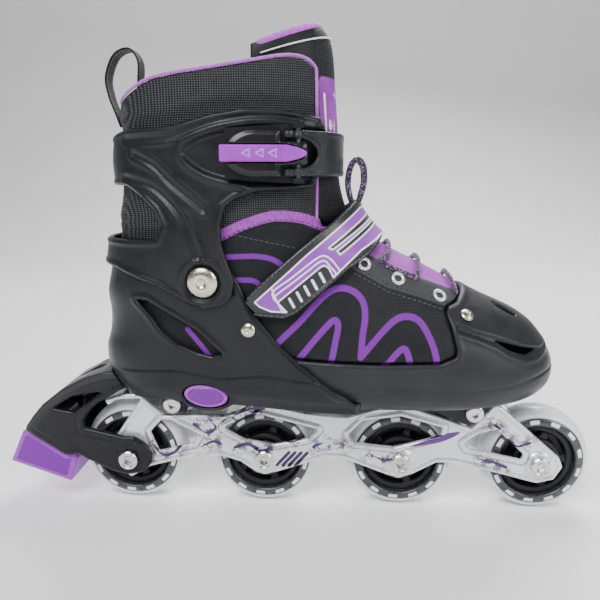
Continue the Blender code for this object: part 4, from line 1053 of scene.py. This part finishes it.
def make_ankle_strap():
    """A moulded band from the fork at the buckle, round the shin to the cuff's left side."""
    middle, half = LEVER_PIN[2], 12.0
    path = [from_buckle(-6, 1.2, 0)[:2], from_buckle(0, 1.2, 0)[:2], from_buckle(3.6, 1.6, 0)[:2],
            (-12, -42.4), (-3.4, -35.2), (1.6, -25), (3.6, -13), (4, 0), (3.6, 13), (1.6, 24)]
    for x in (-5, -14, -24, -36, -50):
        path.append(on_envelope(x, middle, 1, 7.5)[0][:2])
    path = curve_through(path, 4)
    grid = Grid((-56, -56, 214), (8, 52, 243), spacing(0.6))
    x, y = np.broadcast_arrays(grid.x[:, :, 0], grid.y[:, :, 0])
    away = to_line(x, y, path)[:, :, None]
    up = np.abs(grid.z - middle)
    rim = 0.35 * np.exp(-((up - half + 1.8) / 0.9) ** 2)
    band = both(away - 1.15 - rim, up - half, 0.9)
    a, b, c = (grid.x - LEVER_PIN[0], grid.y - LEVER_PIN[1], grid.z - middle)
    local_x, local_y = a * math.cos(TURN) + b * math.sin(TURN), b * math.cos(TURN) - a * math.sin(TURN)
    arm = both(np.sqrt(local_x ** 2 + local_y ** 2) - 2.7, np.abs(up - 9.5) - 2.4, 0.8)
    band = either(band, arm, 1.0)
    gap = (np.sqrt((np.maximum(local_x + 1.5, 0) / 12.5) ** 2 + (c / 7.8) ** 2) - 1) * 7.8
    near = both(local_y - 12, local_x - 12)
    lip = 0.5 * np.exp(-((gap - 1.2) / 0.8) ** 2) * (near < 0)
    band = without(band - lip, both(gap, near), 0.7)
    piece = grid.mesh("ankle_band", band)
    look = plastic("ankle_band_plastic", (0.016, 0.017, 0.02), 0.36)
    finish_piece(piece, look, "upper_cuff", "ankle_strap", slot="shell")


def tab_half(x):
    """Half the release tab's width, which draws in to a round nose."""
    return 4.4 * np.sqrt(np.clip((4.6 - x) / 11, 0, 1))


def make_lever():
    step = spacing(0.4)
    grid = Grid((-42, -5.5, -14), (7, 4.5, 14), step)
    x, y, z = grid.x, grid.y, grid.z
    rear = (np.sqrt(((x + 23) / 16.4) ** 2 + (z / 12.4) ** 2) - 1) * 12
    wide = both(either(rear, both(np.maximum(-23 - x, x + 9), np.abs(z) - 12.2)), x + 9, 1.2)
    nose = both(np.maximum(-24 - x, x - 5), np.abs(z) - 6.2, 3)
    plan = either(wide, nose, 0.6)
    dome = -3.2 + 1.4 * smooth_step((plan + 3.2) / 3.2)
    lever = both(both(plan, dome - y, 1.0), y - 2.8, 0.8)
    channel = both(np.maximum(np.abs(z) - tab_half(x) - 0.5, x - 4.6), y + 1.75)
    slot = both(np.abs(z) - 2.3, np.abs(x + 30) - 5)
    nose_room = both(3.2 - x, 0.4 - y)
    for hole in (channel, slot, nose_room):
        lever = without(lever, hole, 0.4)
    lever = without(lever, np.sqrt(x ** 2 + y ** 2) - 1.9)
    piece = grid.mesh("lever_moulding", lever, AT_BUCKLE)
    look = plastic("lever_plastic", (0.007, 0.007, 0.009), 0.3, 0.02, 0.2)
    finish_piece(piece, look, "lever", "buckle_lever", slot="shell")

    grid = Grid((-45, -6.2, -7), (6, 3, 7), spacing(0.3))
    x, y, z = grid.x, grid.y, grid.z
    plan = both(np.maximum(-41.6 - x, x - 4.4), np.abs(z) - tab_half(x), 1.2)
    face = -4.2 - 0.35 * (1 - (z / 5.5) ** 2) - 0.7 * smooth_step((-38 - x) / 3)
    arrows = [[(place - 2.2, 0), (place + 1.6, 2), (place + 1.6, -2)] for place in (-27.5, -20.5, -13.5)]
    marks = nearest(np.abs(grid.side(arrow)) for arrow in arrows)
    grips = 0.3 * (0.5 + 0.5 * np.cos(2 * np.pi * (x + 38) / 1.5)) * (np.abs(x + 35.5) < 2.4)
    tab = both(both(plan, face - y - 0.3 * np.exp(-(marks / 0.35) ** 2) - grips, 0.8), y + 2.25, 0.4)
    stem = both(np.maximum(-29 - x, x + 26), both(np.abs(z) - 1.9, np.maximum(-3 - y, y - 1.6)))
    piece = grid.mesh("tab_moulding", either(tab, stem, 0.3), AT_BUCKLE)
    local = (points_of(piece) - AT_BUCKLE[1]) @ AT_BUCKLE[0]
    measure(piece, "marks", nearest(to_outline(local[:, 0], local[:, 2], arrow) for arrow in arrows))
    look = plastic("tab_plastic", (0.27, 0.035, 0.4), 0.3, 0.03)
    look.paint(look.ramp(look.math("ABSOLUTE", look.attribute("marks")), 0.5, 0.25), (0.45, 0.16, 0.6))
    finish_piece(piece, look, "tab", "release_tab", slot="purple")
    keep_node(plastic("base_plastic", (0.008, 0.008, 0.01), 0.35), "buckle_base")
    # painted shade: the pin's steel is darkened to stand for the shade in the slot between the lever's nose
    # and the fork
    keep_node(metal("pin_steel_painted_shade", (0.2, 0.2, 0.21)), "lever_pin")


# Rivets, bolts and the size button. A turned profile is (radius, height) from the top down

PIVOT_RIVET = [(0.05, 1.2), (1.6, 1.25), (2.6, 2.1), (3.4, 2.45), (5.2, 2.35), (7.2, 1.75), (8.2, 1.15),
               (8.7, 0.5), (8.3, 0.3), (3, 0.4), (3, -7), (5.6, -7), (5.6, -8.6), (0.05, -8.6)]
SHELL_RIVET = [(0.05, 1.3), (0.9, 1.35), (1.4, 1.7), (2.4, 1.6), (3.6, 1.1), (4.2, 0.45), (2, 0.45),
               (2, -3.5), (3.4, -3.5), (3.4, -4.6), (0.05, -4.6)]
TOE_RIVET = [(0.05, 1.2), (1, 1.25), (1.5, 1.6), (2.5, 1.4), (3.7, 0.9), (4, 0.45), (2, 0.45), (2, -3.3),
             (0.05, -3.3)]
AXLE_NUT = [(4.2, 3), (5.4, 3), (6.1, 2.6), (6.3, 2), (6.3, 0.1), (4.2, 0.1)]


def make_rivets():
    gold = metal("rivet_metal", (0.66, 0.62, 0.5), 0.24)
    silver = metal("bolt_metal", (0.7, 0.7, 0.7), 0.22)
    for side, name in ((-1, "right"), (1, "left")):
        for node, body, place, profile, grow in (("pivot_rivet", "upper_cuff", PIVOT, PIVOT_RIVET, 6.8),
                                                 ("shell_rivet", "chassis", (-49, 130), SHELL_RIVET, 3.4),
                                                 ("toe_rivet", "toe", (76.7, 138.1), TOE_RIVET, 0.0)):
            point, out = on_envelope(*place, side, grow)
            piece = turned(f"{node}_head_{name}", profile, point, out, 40)
            finish_piece(piece, gold, body, f"{node}_{name}", slot="steel")
    for name, (x, z), out in (("rear", REAR_BOLT, 21.9), ("front", FRONT_BOLT, 19.4)):
        far = -2 * out  # the bolt's other head, on the far side
        profile = [(0.05, 0.3), (2.0, 0.3), (2.1, 2.3), (2.8, 2.5), (4.6, 2.4), (5.4, 1.8), (5.4, 0.1),
                   (3, 0.1), (3, far), (6, far), (6, far - 1.8), (5, far - 2.6), (0.05, far - 2.6)]
        piece = turned(f"mounting_bolt_{name}", profile, (x, -out, z), hexagons=(1, 2))
        finish_piece(piece, silver, "chassis", f"frame_bolt_{name}", slot="steel")
    for number, x in enumerate(AXLES, 1):
        out = 17.4 + (4.4 if number == 1 else 0)
        profile = [(0.05, 0.3), (2.4, 0.3), (2.5, 2.6), (3.0, 2.75), (3.7, 2.45), (4.2, 2.5), (4.7, 2.9),
                   (5.6, 2.85), (6.2, 2.3), (6.3, 1.6), (6.3, 0.1), (3.8, 0.1), (3.8, -2 * out - 1),
                   (0.05, -2 * out - 1)]
        piece = turned(f"axle_head_{number}", profile, (x, -out, AXLE_Z), hexagons=(1, 2))
        finish_piece(piece, silver, "chassis", f"axle_bolt_{number}", slot="steel")
        piece = turned(f"axle_end_{number}", AXLE_NUT, (x, out, AXLE_Z), (0, 1, 0), closed=True)
        finish_piece(piece, silver, "chassis", f"axle_nut_{number}", slot="steel")
    keep_node(metal("screw_steel", (0.55, 0.55, 0.57)), "brake_screw")


def make_button():
    grid = Grid((BUTTON[0] - 16, -42, BUTTON[1] - 10), (BUTTON[0] + 16, -33, BUTTON[1] + 10),
                spacing(0.4))
    x, y, z = grid.x - BUTTON[0], grid.y, grid.z - BUTTON[1]
    tilt = math.radians(-6)
    across, up = x * math.cos(tilt) + z * math.sin(tilt), z * math.cos(tilt) - x * math.sin(tilt)
    plan = (np.sqrt((across / 13.4) ** 2 + (up / 7.1) ** 2) - 1) * 8
    face = -39.2 + 0.7 * smooth_step((plan + 2.4) / 0.8) - 0.5 * np.exp(-((plan + 1.0) / 0.5) ** 2)
    tall = np.maximum(np.abs(up) - 1.6, 0)
    bars = nearest(np.sqrt(np.maximum(np.abs(across - 2.6 * k) - 0.2, 0) ** 2 + tall ** 2)
                   for k in (-2, -1, 0, 1, 2)) - 0.35
    face = face - 0.35 * smooth_step(0.5 - bars / 0.5)
    button = both(both(plan, face - y, 0.8), y + 34.6, 0.3)
    piece = grid.mesh("button_moulding", button)
    x, _, z = points_of(piece).T
    measure(piece, "middle", to_outline(x, z, oval(*BUTTON, 11.2, 5.2, -6)))
    look = plastic("button_plastic", (0.25, 0.05, 0.36), 0.32, 0.02, 0.2)
    look.paint(look.mask("middle", 0.2), (0.15, 0.016, 0.27))
    finish_piece(piece, look, "size_button", "push_button", slot="purple")
    turn = np.linspace(0, 5 * np.pi, 80)
    path = np.stack([BUTTON[0] + 4 * np.cos(turn), -33.5 + 3.4 * turn / turn[-1],
                     BUTTON[1] + 4 * np.sin(turn)], axis=1)
    coil = sweep("return_spring", path, round_section(0.45, 8), (0, 1, 0))
    finish_piece(coil, metal("spring_steel", (0.6, 0.6, 0.62)), "chassis", "button_spring", slot="steel")
    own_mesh(coil)


# Frame, wheels and brake

FRAME_EDGE = [(-125, 79), (-136, 78), (-149, 74), (-148, 71), (-139, 74), (-125, 74.6), (-142, 50),
              (-147, 38), (-145, 26), (-134, 19), (-121, 27), (-95, 34), (-72, 36), (-60, 32), (-50, 25),
              (-44, 23.2), (-34, 26), (-4, 36.5), (8, 36), (34, 26), (44, 23), (54, 27), (68, 35),
              (78, 35), (93, 32), (132, 22), (143, 25), (148, 34), (145, 41), (107, 74), (102, 76),
              (88, 59.5), (68, 67), (42, 76), (10, 66), (2, 66), (-18, 68), (-49, 75), (-59, 69),
              (-69, 65), (-109, 64.5), (-118, 72)]
FRAME_WINDOWS = [[(-119, 52), (-112, 60), (-106, 60), (-88, 51), (-91, 45), (-114, 39)],
                 [(-70, 56), (-54, 65), (-46, 65), (-10, 56), (-16, 50), (-38, 45.5), (-58, 49)],
                 [(11, 53), (20, 62.5), (44, 66), (70, 59), (69, 54), (40, 45.5), (14, 48)],
                 [(85, 49), (94, 55.5), (105, 58.5), (122, 42), (121, 39), (87, 46)]]
FRAME_CURLS = [[(-72, 60), (-66, 64), (-60, 60), (-55, 63), (-48, 69)],
               [(-36, 52), (-28, 47), (-22, 49), (-27, 53)],
               [(-64, 42), (-55, 45), (-47, 41), (-40, 43)],
               [(-118, 44), (-112, 36), (-104, 38), (-99, 44)],
               [(-12, 44), (-4, 47), (2, 43), (8, 46)],
               [(96, 38), (104, 36), (112, 33)],
               [(24, 40), (34, 36), (40, 38)],
               [(-62, 66), (-52, 70), (-44, 70)],
               [(-90, 58), (-82, 52), (-76, 56), (-80, 61)],
               [(-86, 42), (-78, 46), (-72, 44)],
               [(112, 52), (118, 48), (126, 50)],
               [(100, 64), (106, 60)]]
FRAME_SWOOSH = [(50, 46), (62, 47.5), (74, 51), (82, 56.5), (73, 55.5), (62, 51.5)]


def make_frame():
    grid = Grid((-152, -18, 16), (151, 18, 81), spacing(0.8))
    x, y, z = grid.x, np.abs(grid.y), grid.z
    edge = grid.side(FRAME_EDGE)
    windows = nearest(grid.side(window) for window in FRAME_WINDOWS)
    ridge = 0.8 * np.exp(-((windows - 1.9) / 1.3) ** 2) + 0.7 * np.exp(-((edge + 1.7) / 1.2) ** 2)
    boss = nearest(grid.from_y_axis(place, AXLE_Z) for place in AXLES)
    ridge = np.maximum(ridge, 0.9 * smooth_step((9.4 - boss) / 1.2))
    solid = both(edge, y - 15.9 - np.minimum(ridge * 1.5, 1.3), 0.8)
    rooms = both(np.minimum(boss - 36.5, z - 56.0), y - 14.0)
    solid = without(without(solid, rooms, 0.6), windows, 1.2)
    solid = either(solid, both(boss - 6.3, both(y - 15, 12.5 - y)), 0.5)
    uprights = np.minimum(both(np.abs(x + 101) - 7, np.abs(z - 71) - 7.8),
                          both(np.abs(x - 89) - 9, np.abs(z - 65) - 11.3))
    solid = either(solid, both(uprights, y - 10, 0.8), 0.8)
    from_bolts = nearest(grid.from_y_axis(*bolt) for bolt in (REAR_BOLT, FRONT_BOLT))
    bores = np.minimum(boss - 4.1, from_bolts - 3.2)
    piece = grid.mesh("chassis_rails", without(solid, bores))
    x, y, z = points_of(piece).T
    flat = np.abs(y) > 14.6
    window = nearest(to_outline(x, z, window) for window in FRAME_WINDOWS)
    curls = nearest_curve(x, z, FRAME_CURLS, 6)
    slants = nearest(to_line(x, z, [(a, 30.5), (a + 8, 39.5)]) for a in (-36, -32, -28, -24))
    swoosh = to_outline(x, z, curve_through(FRAME_SWOOSH, 6, closed=True))
    # groove marks a line 4.2 mm out from each window on the flat plates, painted dark below as painted shade
    for name, values in (("curls", curls), ("slants", slants), ("swoosh", swoosh),
                         ("plate", np.where(flat, -1, 1)),
                         ("groove", np.where(flat, np.abs(window - 4.2), 9))):
        measure(piece, name, values)
    look = Look("frame_paint", (0.72, 0.73, 0.76), 0.22, metal=0.55, coat=0.6)
    look.vary(0.04, 30)
    look.roughen(0.16, 0.3, 120)
    look.bump(look.noise(900, 2), 0.015)
    ink = look.ramp(look.noise(170, 6, 0.75), 0.5, 0.54)
    near = look.ramp(look.attribute("curls"), 8, 0.5)
    # painted shade: a dark line 4.2 mm out from each window on the flat plates, for the shade of a groove
    # there
    look.paint(look.math("MULTIPLY", look.mask("groove", 0.25, 0.45), 0.75), (0.1, 0.1, 0.12))
    plate = look.mask("plate", 0.5)
    purple = (0.035, 0.008, 0.08)
    look.paint(look.math("MULTIPLY", plate, look.math("MULTIPLY", ink, near)), purple)
    width = look.math("MULTIPLY", look.ramp(look.noise(60, 2), 0.3, 0.7), 1.3)
    curl = look.ramp(look.math("SUBTRACT", look.attribute("curls"), width), 0.25, -0.1)
    look.paint(look.math("MULTIPLY", plate, curl), purple)
    look.paint(look.math("MULTIPLY", plate, look.mask("slants", 0.2, 1.1)), (0.03, 0.01, 0.055))
    look.paint(look.math("MULTIPLY", plate, look.mask("swoosh", 0.2)), (0.09, 0.02, 0.18))
    finish_piece(piece, look, "chassis", "frame", slot="frame_paint")
    keep_node(plastic("plate_plastic", (0.02, 0.021, 0.024), 0.45), "sole_plate")
    keep_node(plastic("block_plastic", (0.16, 0.165, 0.175), 0.45), "mid_block")


def make_wheels():
    tread = Look("tyre_urethane", (0.66, 0.68, 0.7), 0.22, coat=0.3)
    tread.shader.inputs["Subsurface Weight"].default_value = 0.3
    tread.shader.inputs["Subsurface Radius"].default_value = (0.004, 0.004, 0.004)
    tread.vary(0.08, 90)
    tread.roughen(0.18, 0.45, 260)
    tread.bump(tread.noise(1200, 3), 0.05)
    tread.paint(tread.mask("ring", 0.25), (0.035, 0.037, 0.042))
    tread.paint(tread.mask("panes", 0.2), (0.75, 0.77, 0.8))
    core = plastic("hub_plastic", (0.012, 0.012, 0.014), 0.4)
    steel = metal("bearing_steel", (0.62, 0.62, 0.64), 0.2)
    grid = Grid((-36, -13, -36), (36, 13, 36), spacing(0.8))
    x, y, z = grid.x, np.abs(grid.y), grid.z
    away = grid.from_y_axis(0, 0)
    round_edge = (np.maximum(away - 24.2, 0) / 10.8) ** 2.4 + (y / 12.0) ** 2.4
    tyre = both((round_edge ** (1 / 2.4) - 1) * 10 + 0.5 * np.exp(-((away - 30.4) / 0.6) ** 2),
                24.4 - away, 0.6)
    rim = both(np.abs(away - 22) - 2.1, y - 8.4, 1.0)
    inner = both(np.abs(away - 13.2) - 2.0, y - 11.3, 1.0)
    sector = (np.arctan2(z, x) + np.pi / 5) % (2 * np.pi / 5) - np.pi / 5
    spoke = both(both(np.abs(away * np.sin(sector)) - 2.6, np.abs(away - 17.5) - 5, 0.5), y - 6.8, 1.0)
    web = both(np.abs(away - 17.5) - 5, y - 1.6)
    hub = either(either(either(rim, inner), spoke, 1.5), web, 1.0)
    hub = either(hub, both(np.abs(away - 10) - 1.4, y - 4.2))
    hub = without(hub, both(away - 11.15, 4.4 - y))
    for number, place in enumerate(AXLES, 1):
        at_axle = (np.eye(3), np.array((place, 0, AXLE_Z)))
        piece = grid.mesh(f"urethane_{number}", tyre, at_axle)
        px, _, pz = points_of(piece).T
        out, angle = np.hypot(px - place, pz - AXLE_Z), np.arctan2(pz - AXLE_Z, px - place)
        around = (angle / (2 * np.pi) * 13) % 1 - 0.5
        measure(piece, "ring", out - 29.9)
        measure(piece, "panes", np.maximum(np.abs(out - 27.4) - 1.2, (np.abs(around) - 0.22) * 12))
        finish_piece(piece, tread, f"wheel_{number}", f"tyre_{number}", slot="tyre")
        piece = grid.mesh(f"spoked_core_{number}", hub, at_axle)
        finish_piece(piece, core, f"wheel_{number}", f"hub_{number}", slot="hub")
        keep_node(steel, f"bearing_{number}_left", f"bearing_{number}_right", f"spacer_{number}")


ARM_EDGE = [(-132, 95), (-147, 94), (-160, 90), (-175, 82), (-189, 71), (-196, 63), (-201, 56), (-202, 53),
            (-176, 36), (-167, 37), (-161, 33), (-156, 31), (-146, 26), (-135, 23), (-124, 25), (-118, 32),
            (-117, 39), (-123, 46), (-130, 50), (-136, 50), (-162, 56), (-162, 61), (-158, 67), (-152, 73),
            (-146, 76), (-137, 81.5), (-127, 86)]
PAD_EDGE = [(-216, 29), (-206, 50.4), (-202, 52.3), (-177, 35.6), (-171, 35.6), (-170, 32), (-175.5, 15)]
BRAKE_SCREW, SCREW_UP = (-189.5, 44.6), (0.547, 0.837)


def along_screw(grid):
    """How far up the brake's screw, and how far out from its axis."""
    x, z = grid.x - BRAKE_SCREW[0], grid.z - BRAKE_SCREW[1]
    along = x * SCREW_UP[0] + z * SCREW_UP[1]
    across = x * SCREW_UP[1] - z * SCREW_UP[0]
    return along, np.sqrt(across ** 2 + grid.y ** 2)


def make_brake():
    grid = Grid((-205, -23, 20), (-114, 23, 98), spacing(0.8))
    x, y, z = grid.x, np.abs(grid.y), grid.z
    edge = grid.side(ARM_EDGE)
    slot = grid.side([(-182, 69), (-168, 77.5), (-148, 81), (-168, 66.5)])
    groove = 0.6 * np.exp(-((edge + 4.2) / 0.8) ** 2)
    arm = both(edge, y - 21.3 + groove, 2.2)
    arm = without(arm, slot, 1.2)
    arm = without(arm, both(np.maximum(-172 - x, x + 100), both(y - 17.5, z - 79.6)), 0.5)
    arm = without(arm, grid.envelope() - 4.0, 0.6)
    arm = without(arm, grid.from_y_axis(AXLES[0], AXLE_Z) - 4.2)
    along, round_screw = along_screw(grid)
    arm = without(arm, np.minimum(round_screw - 2.7, both(round_screw - 5, 12.0 - along)), 0.4)
    piece = grid.mesh("brake_housing", arm)
    px, _, pz = points_of(piece).T
    # top is the distance from the arm's upper edge, where a painted highlight goes
    measure(piece, "top", to_line(px, pz, ARM_EDGE[:7]) - 5)
    look = plastic("brake_plastic", (0.008, 0.008, 0.01), 0.3)
    # painted highlight: the band along the arm's top is painted lighter grey
    look.paint(look.math("MULTIPLY", look.mask("top", 3), 0.5), (0.05, 0.05, 0.055))
    finish_piece(piece, look, "chassis", "brake_arm", slot="shell")

    grid = Grid((-218, -19, 13), (-168, 19, 54), spacing(0.7))
    edge = grid.side(PAD_EDGE)
    along, round_screw = along_screw(grid)
    pad = both(edge, np.abs(grid.y) - 17.8 + 0.8 * smooth_step((edge + 3.2) / 2.2), 1.6)
    pad = without(pad, both(round_screw - 2.7, -9.0 - along))
    piece = grid.mesh("brake_rubber", pad)
    px, _, pz = points_of(piece).T
    measure(piece, "middle", to_outline(px, pz, PAD_EDGE) + 3.4)
    look = plastic("brake_rubber_purple", (0.27, 0.05, 0.42), 0.4, 0.1)
    look.paint(look.mask("middle", 0.3), (0.17, 0.014, 0.31))
    look.bump(look.noise(500, 4), 0.12)
    finish_piece(piece, look, "chassis", "brake_pad", slot="purple")


# Laces


def make_laces():
    eyelets = [(25.3, 148.9), (28.2, 158.8), (29.4, 167.6)]
    path = []
    for row, (half, z) in enumerate(eyelets):
        side = -1 if row % 2 == 0 else 1
        for step in range(13):
            t = side * (1 - step / 6)
            y, height = t * half, z + (1 - t * t) * 9
            x = np.linspace(-10, 120, 1301)
            away, _ = envelope_at(np.stack([x, np.full_like(x, y), np.full_like(x, height)], axis=1))
            path.append((x[np.nonzero(away <= 1.2)[0].max()], y, height))
    path = curve_through(path, 4)
    lace = sweep("lace", path, band_section(3.2, 2.0, 14), (0, 0.2, 1))
    look = Look("lace_weave", (0.02, 0.018, 0.026), 0.75, sheen=0.3)
    flecks = look.ramp(look.noise(900, 2, 0.6, (1, 1, 1)), 0.56, 0.62)
    look.paint(flecks, (0.35, 0.16, 0.5))
    look.paint(look.ramp(look.noise(1400, 2), 0.64, 0.7), (0.5, 0.5, 0.55))
    look.bump(look.noise(2200, 2), 0.25)
    finish_piece(lace, look, "chassis", "laces", slot="soft_black")
    loop = [(13, -10, 196), (9.5, -11, 204), (8, -11.5, 213), (9.5, -12, 222), (13, -11.5, 226.5),
            (17, -10.5, 222.5), (17.8, -8.5, 213), (15.8, -5.5, 204.5), (14.5, 0, 200.5)]
    bow = curve_through(loop + [(x, -y, z) for x, y, z in loop[-2::-1]], 6)
    ends = sweep("lace_bow", bow, band_section(3.2, 1.8, 14), (1, 0, 0.2))
    bend_at_ankle(ends, look, bend=BOW_BEND)
    silver = metal("eyelet_metal", (0.8, 0.8, 0.82), 0.4)
    made = []
    turn = np.linspace(0, 2 * np.pi, 28, endpoint=False)
    for side in (-1, 1):
        for x, z in ((17.2, 167.2), (37, 158.6), (61.5, 148.6)):
            point, out = on_envelope(x, z, side, 0.9)
            flat = np.cross(out, (0, 0, 1))
            flat /= np.linalg.norm(flat)
            rise = np.cross(out, flat)
            ring = point + 3.2 * (np.cos(turn)[:, None] * flat + np.sin(turn)[:, None] * rise)
            made.append(sweep("eyelet", ring, round_section(1.2, 12), out, closed=True))
    finish_piece(join_pieces("eyelets", made), silver, "chassis")
    foam = Look("insole_foam", (0.03, 0.03, 0.034), 0.85, sheen=0.3)
    foam.vary(0.5, 300)
    # painted highlight on the thread crests in the default light colour, and painted shade between the
    # threads
    foam.weave(1.6, 0.2, 0.4)
    keep_node(foam, "insole")


# Build

make_rear_shell()
make_cuff()
make_toe_shell()
make_boot()
make_boot_trim()
make_tongue()
make_pull_loop()
make_instep_strap()
make_ankle_strap()
make_lever()
make_rivets()
make_button()
make_frame()
make_wheels()
make_brake()
make_laces()
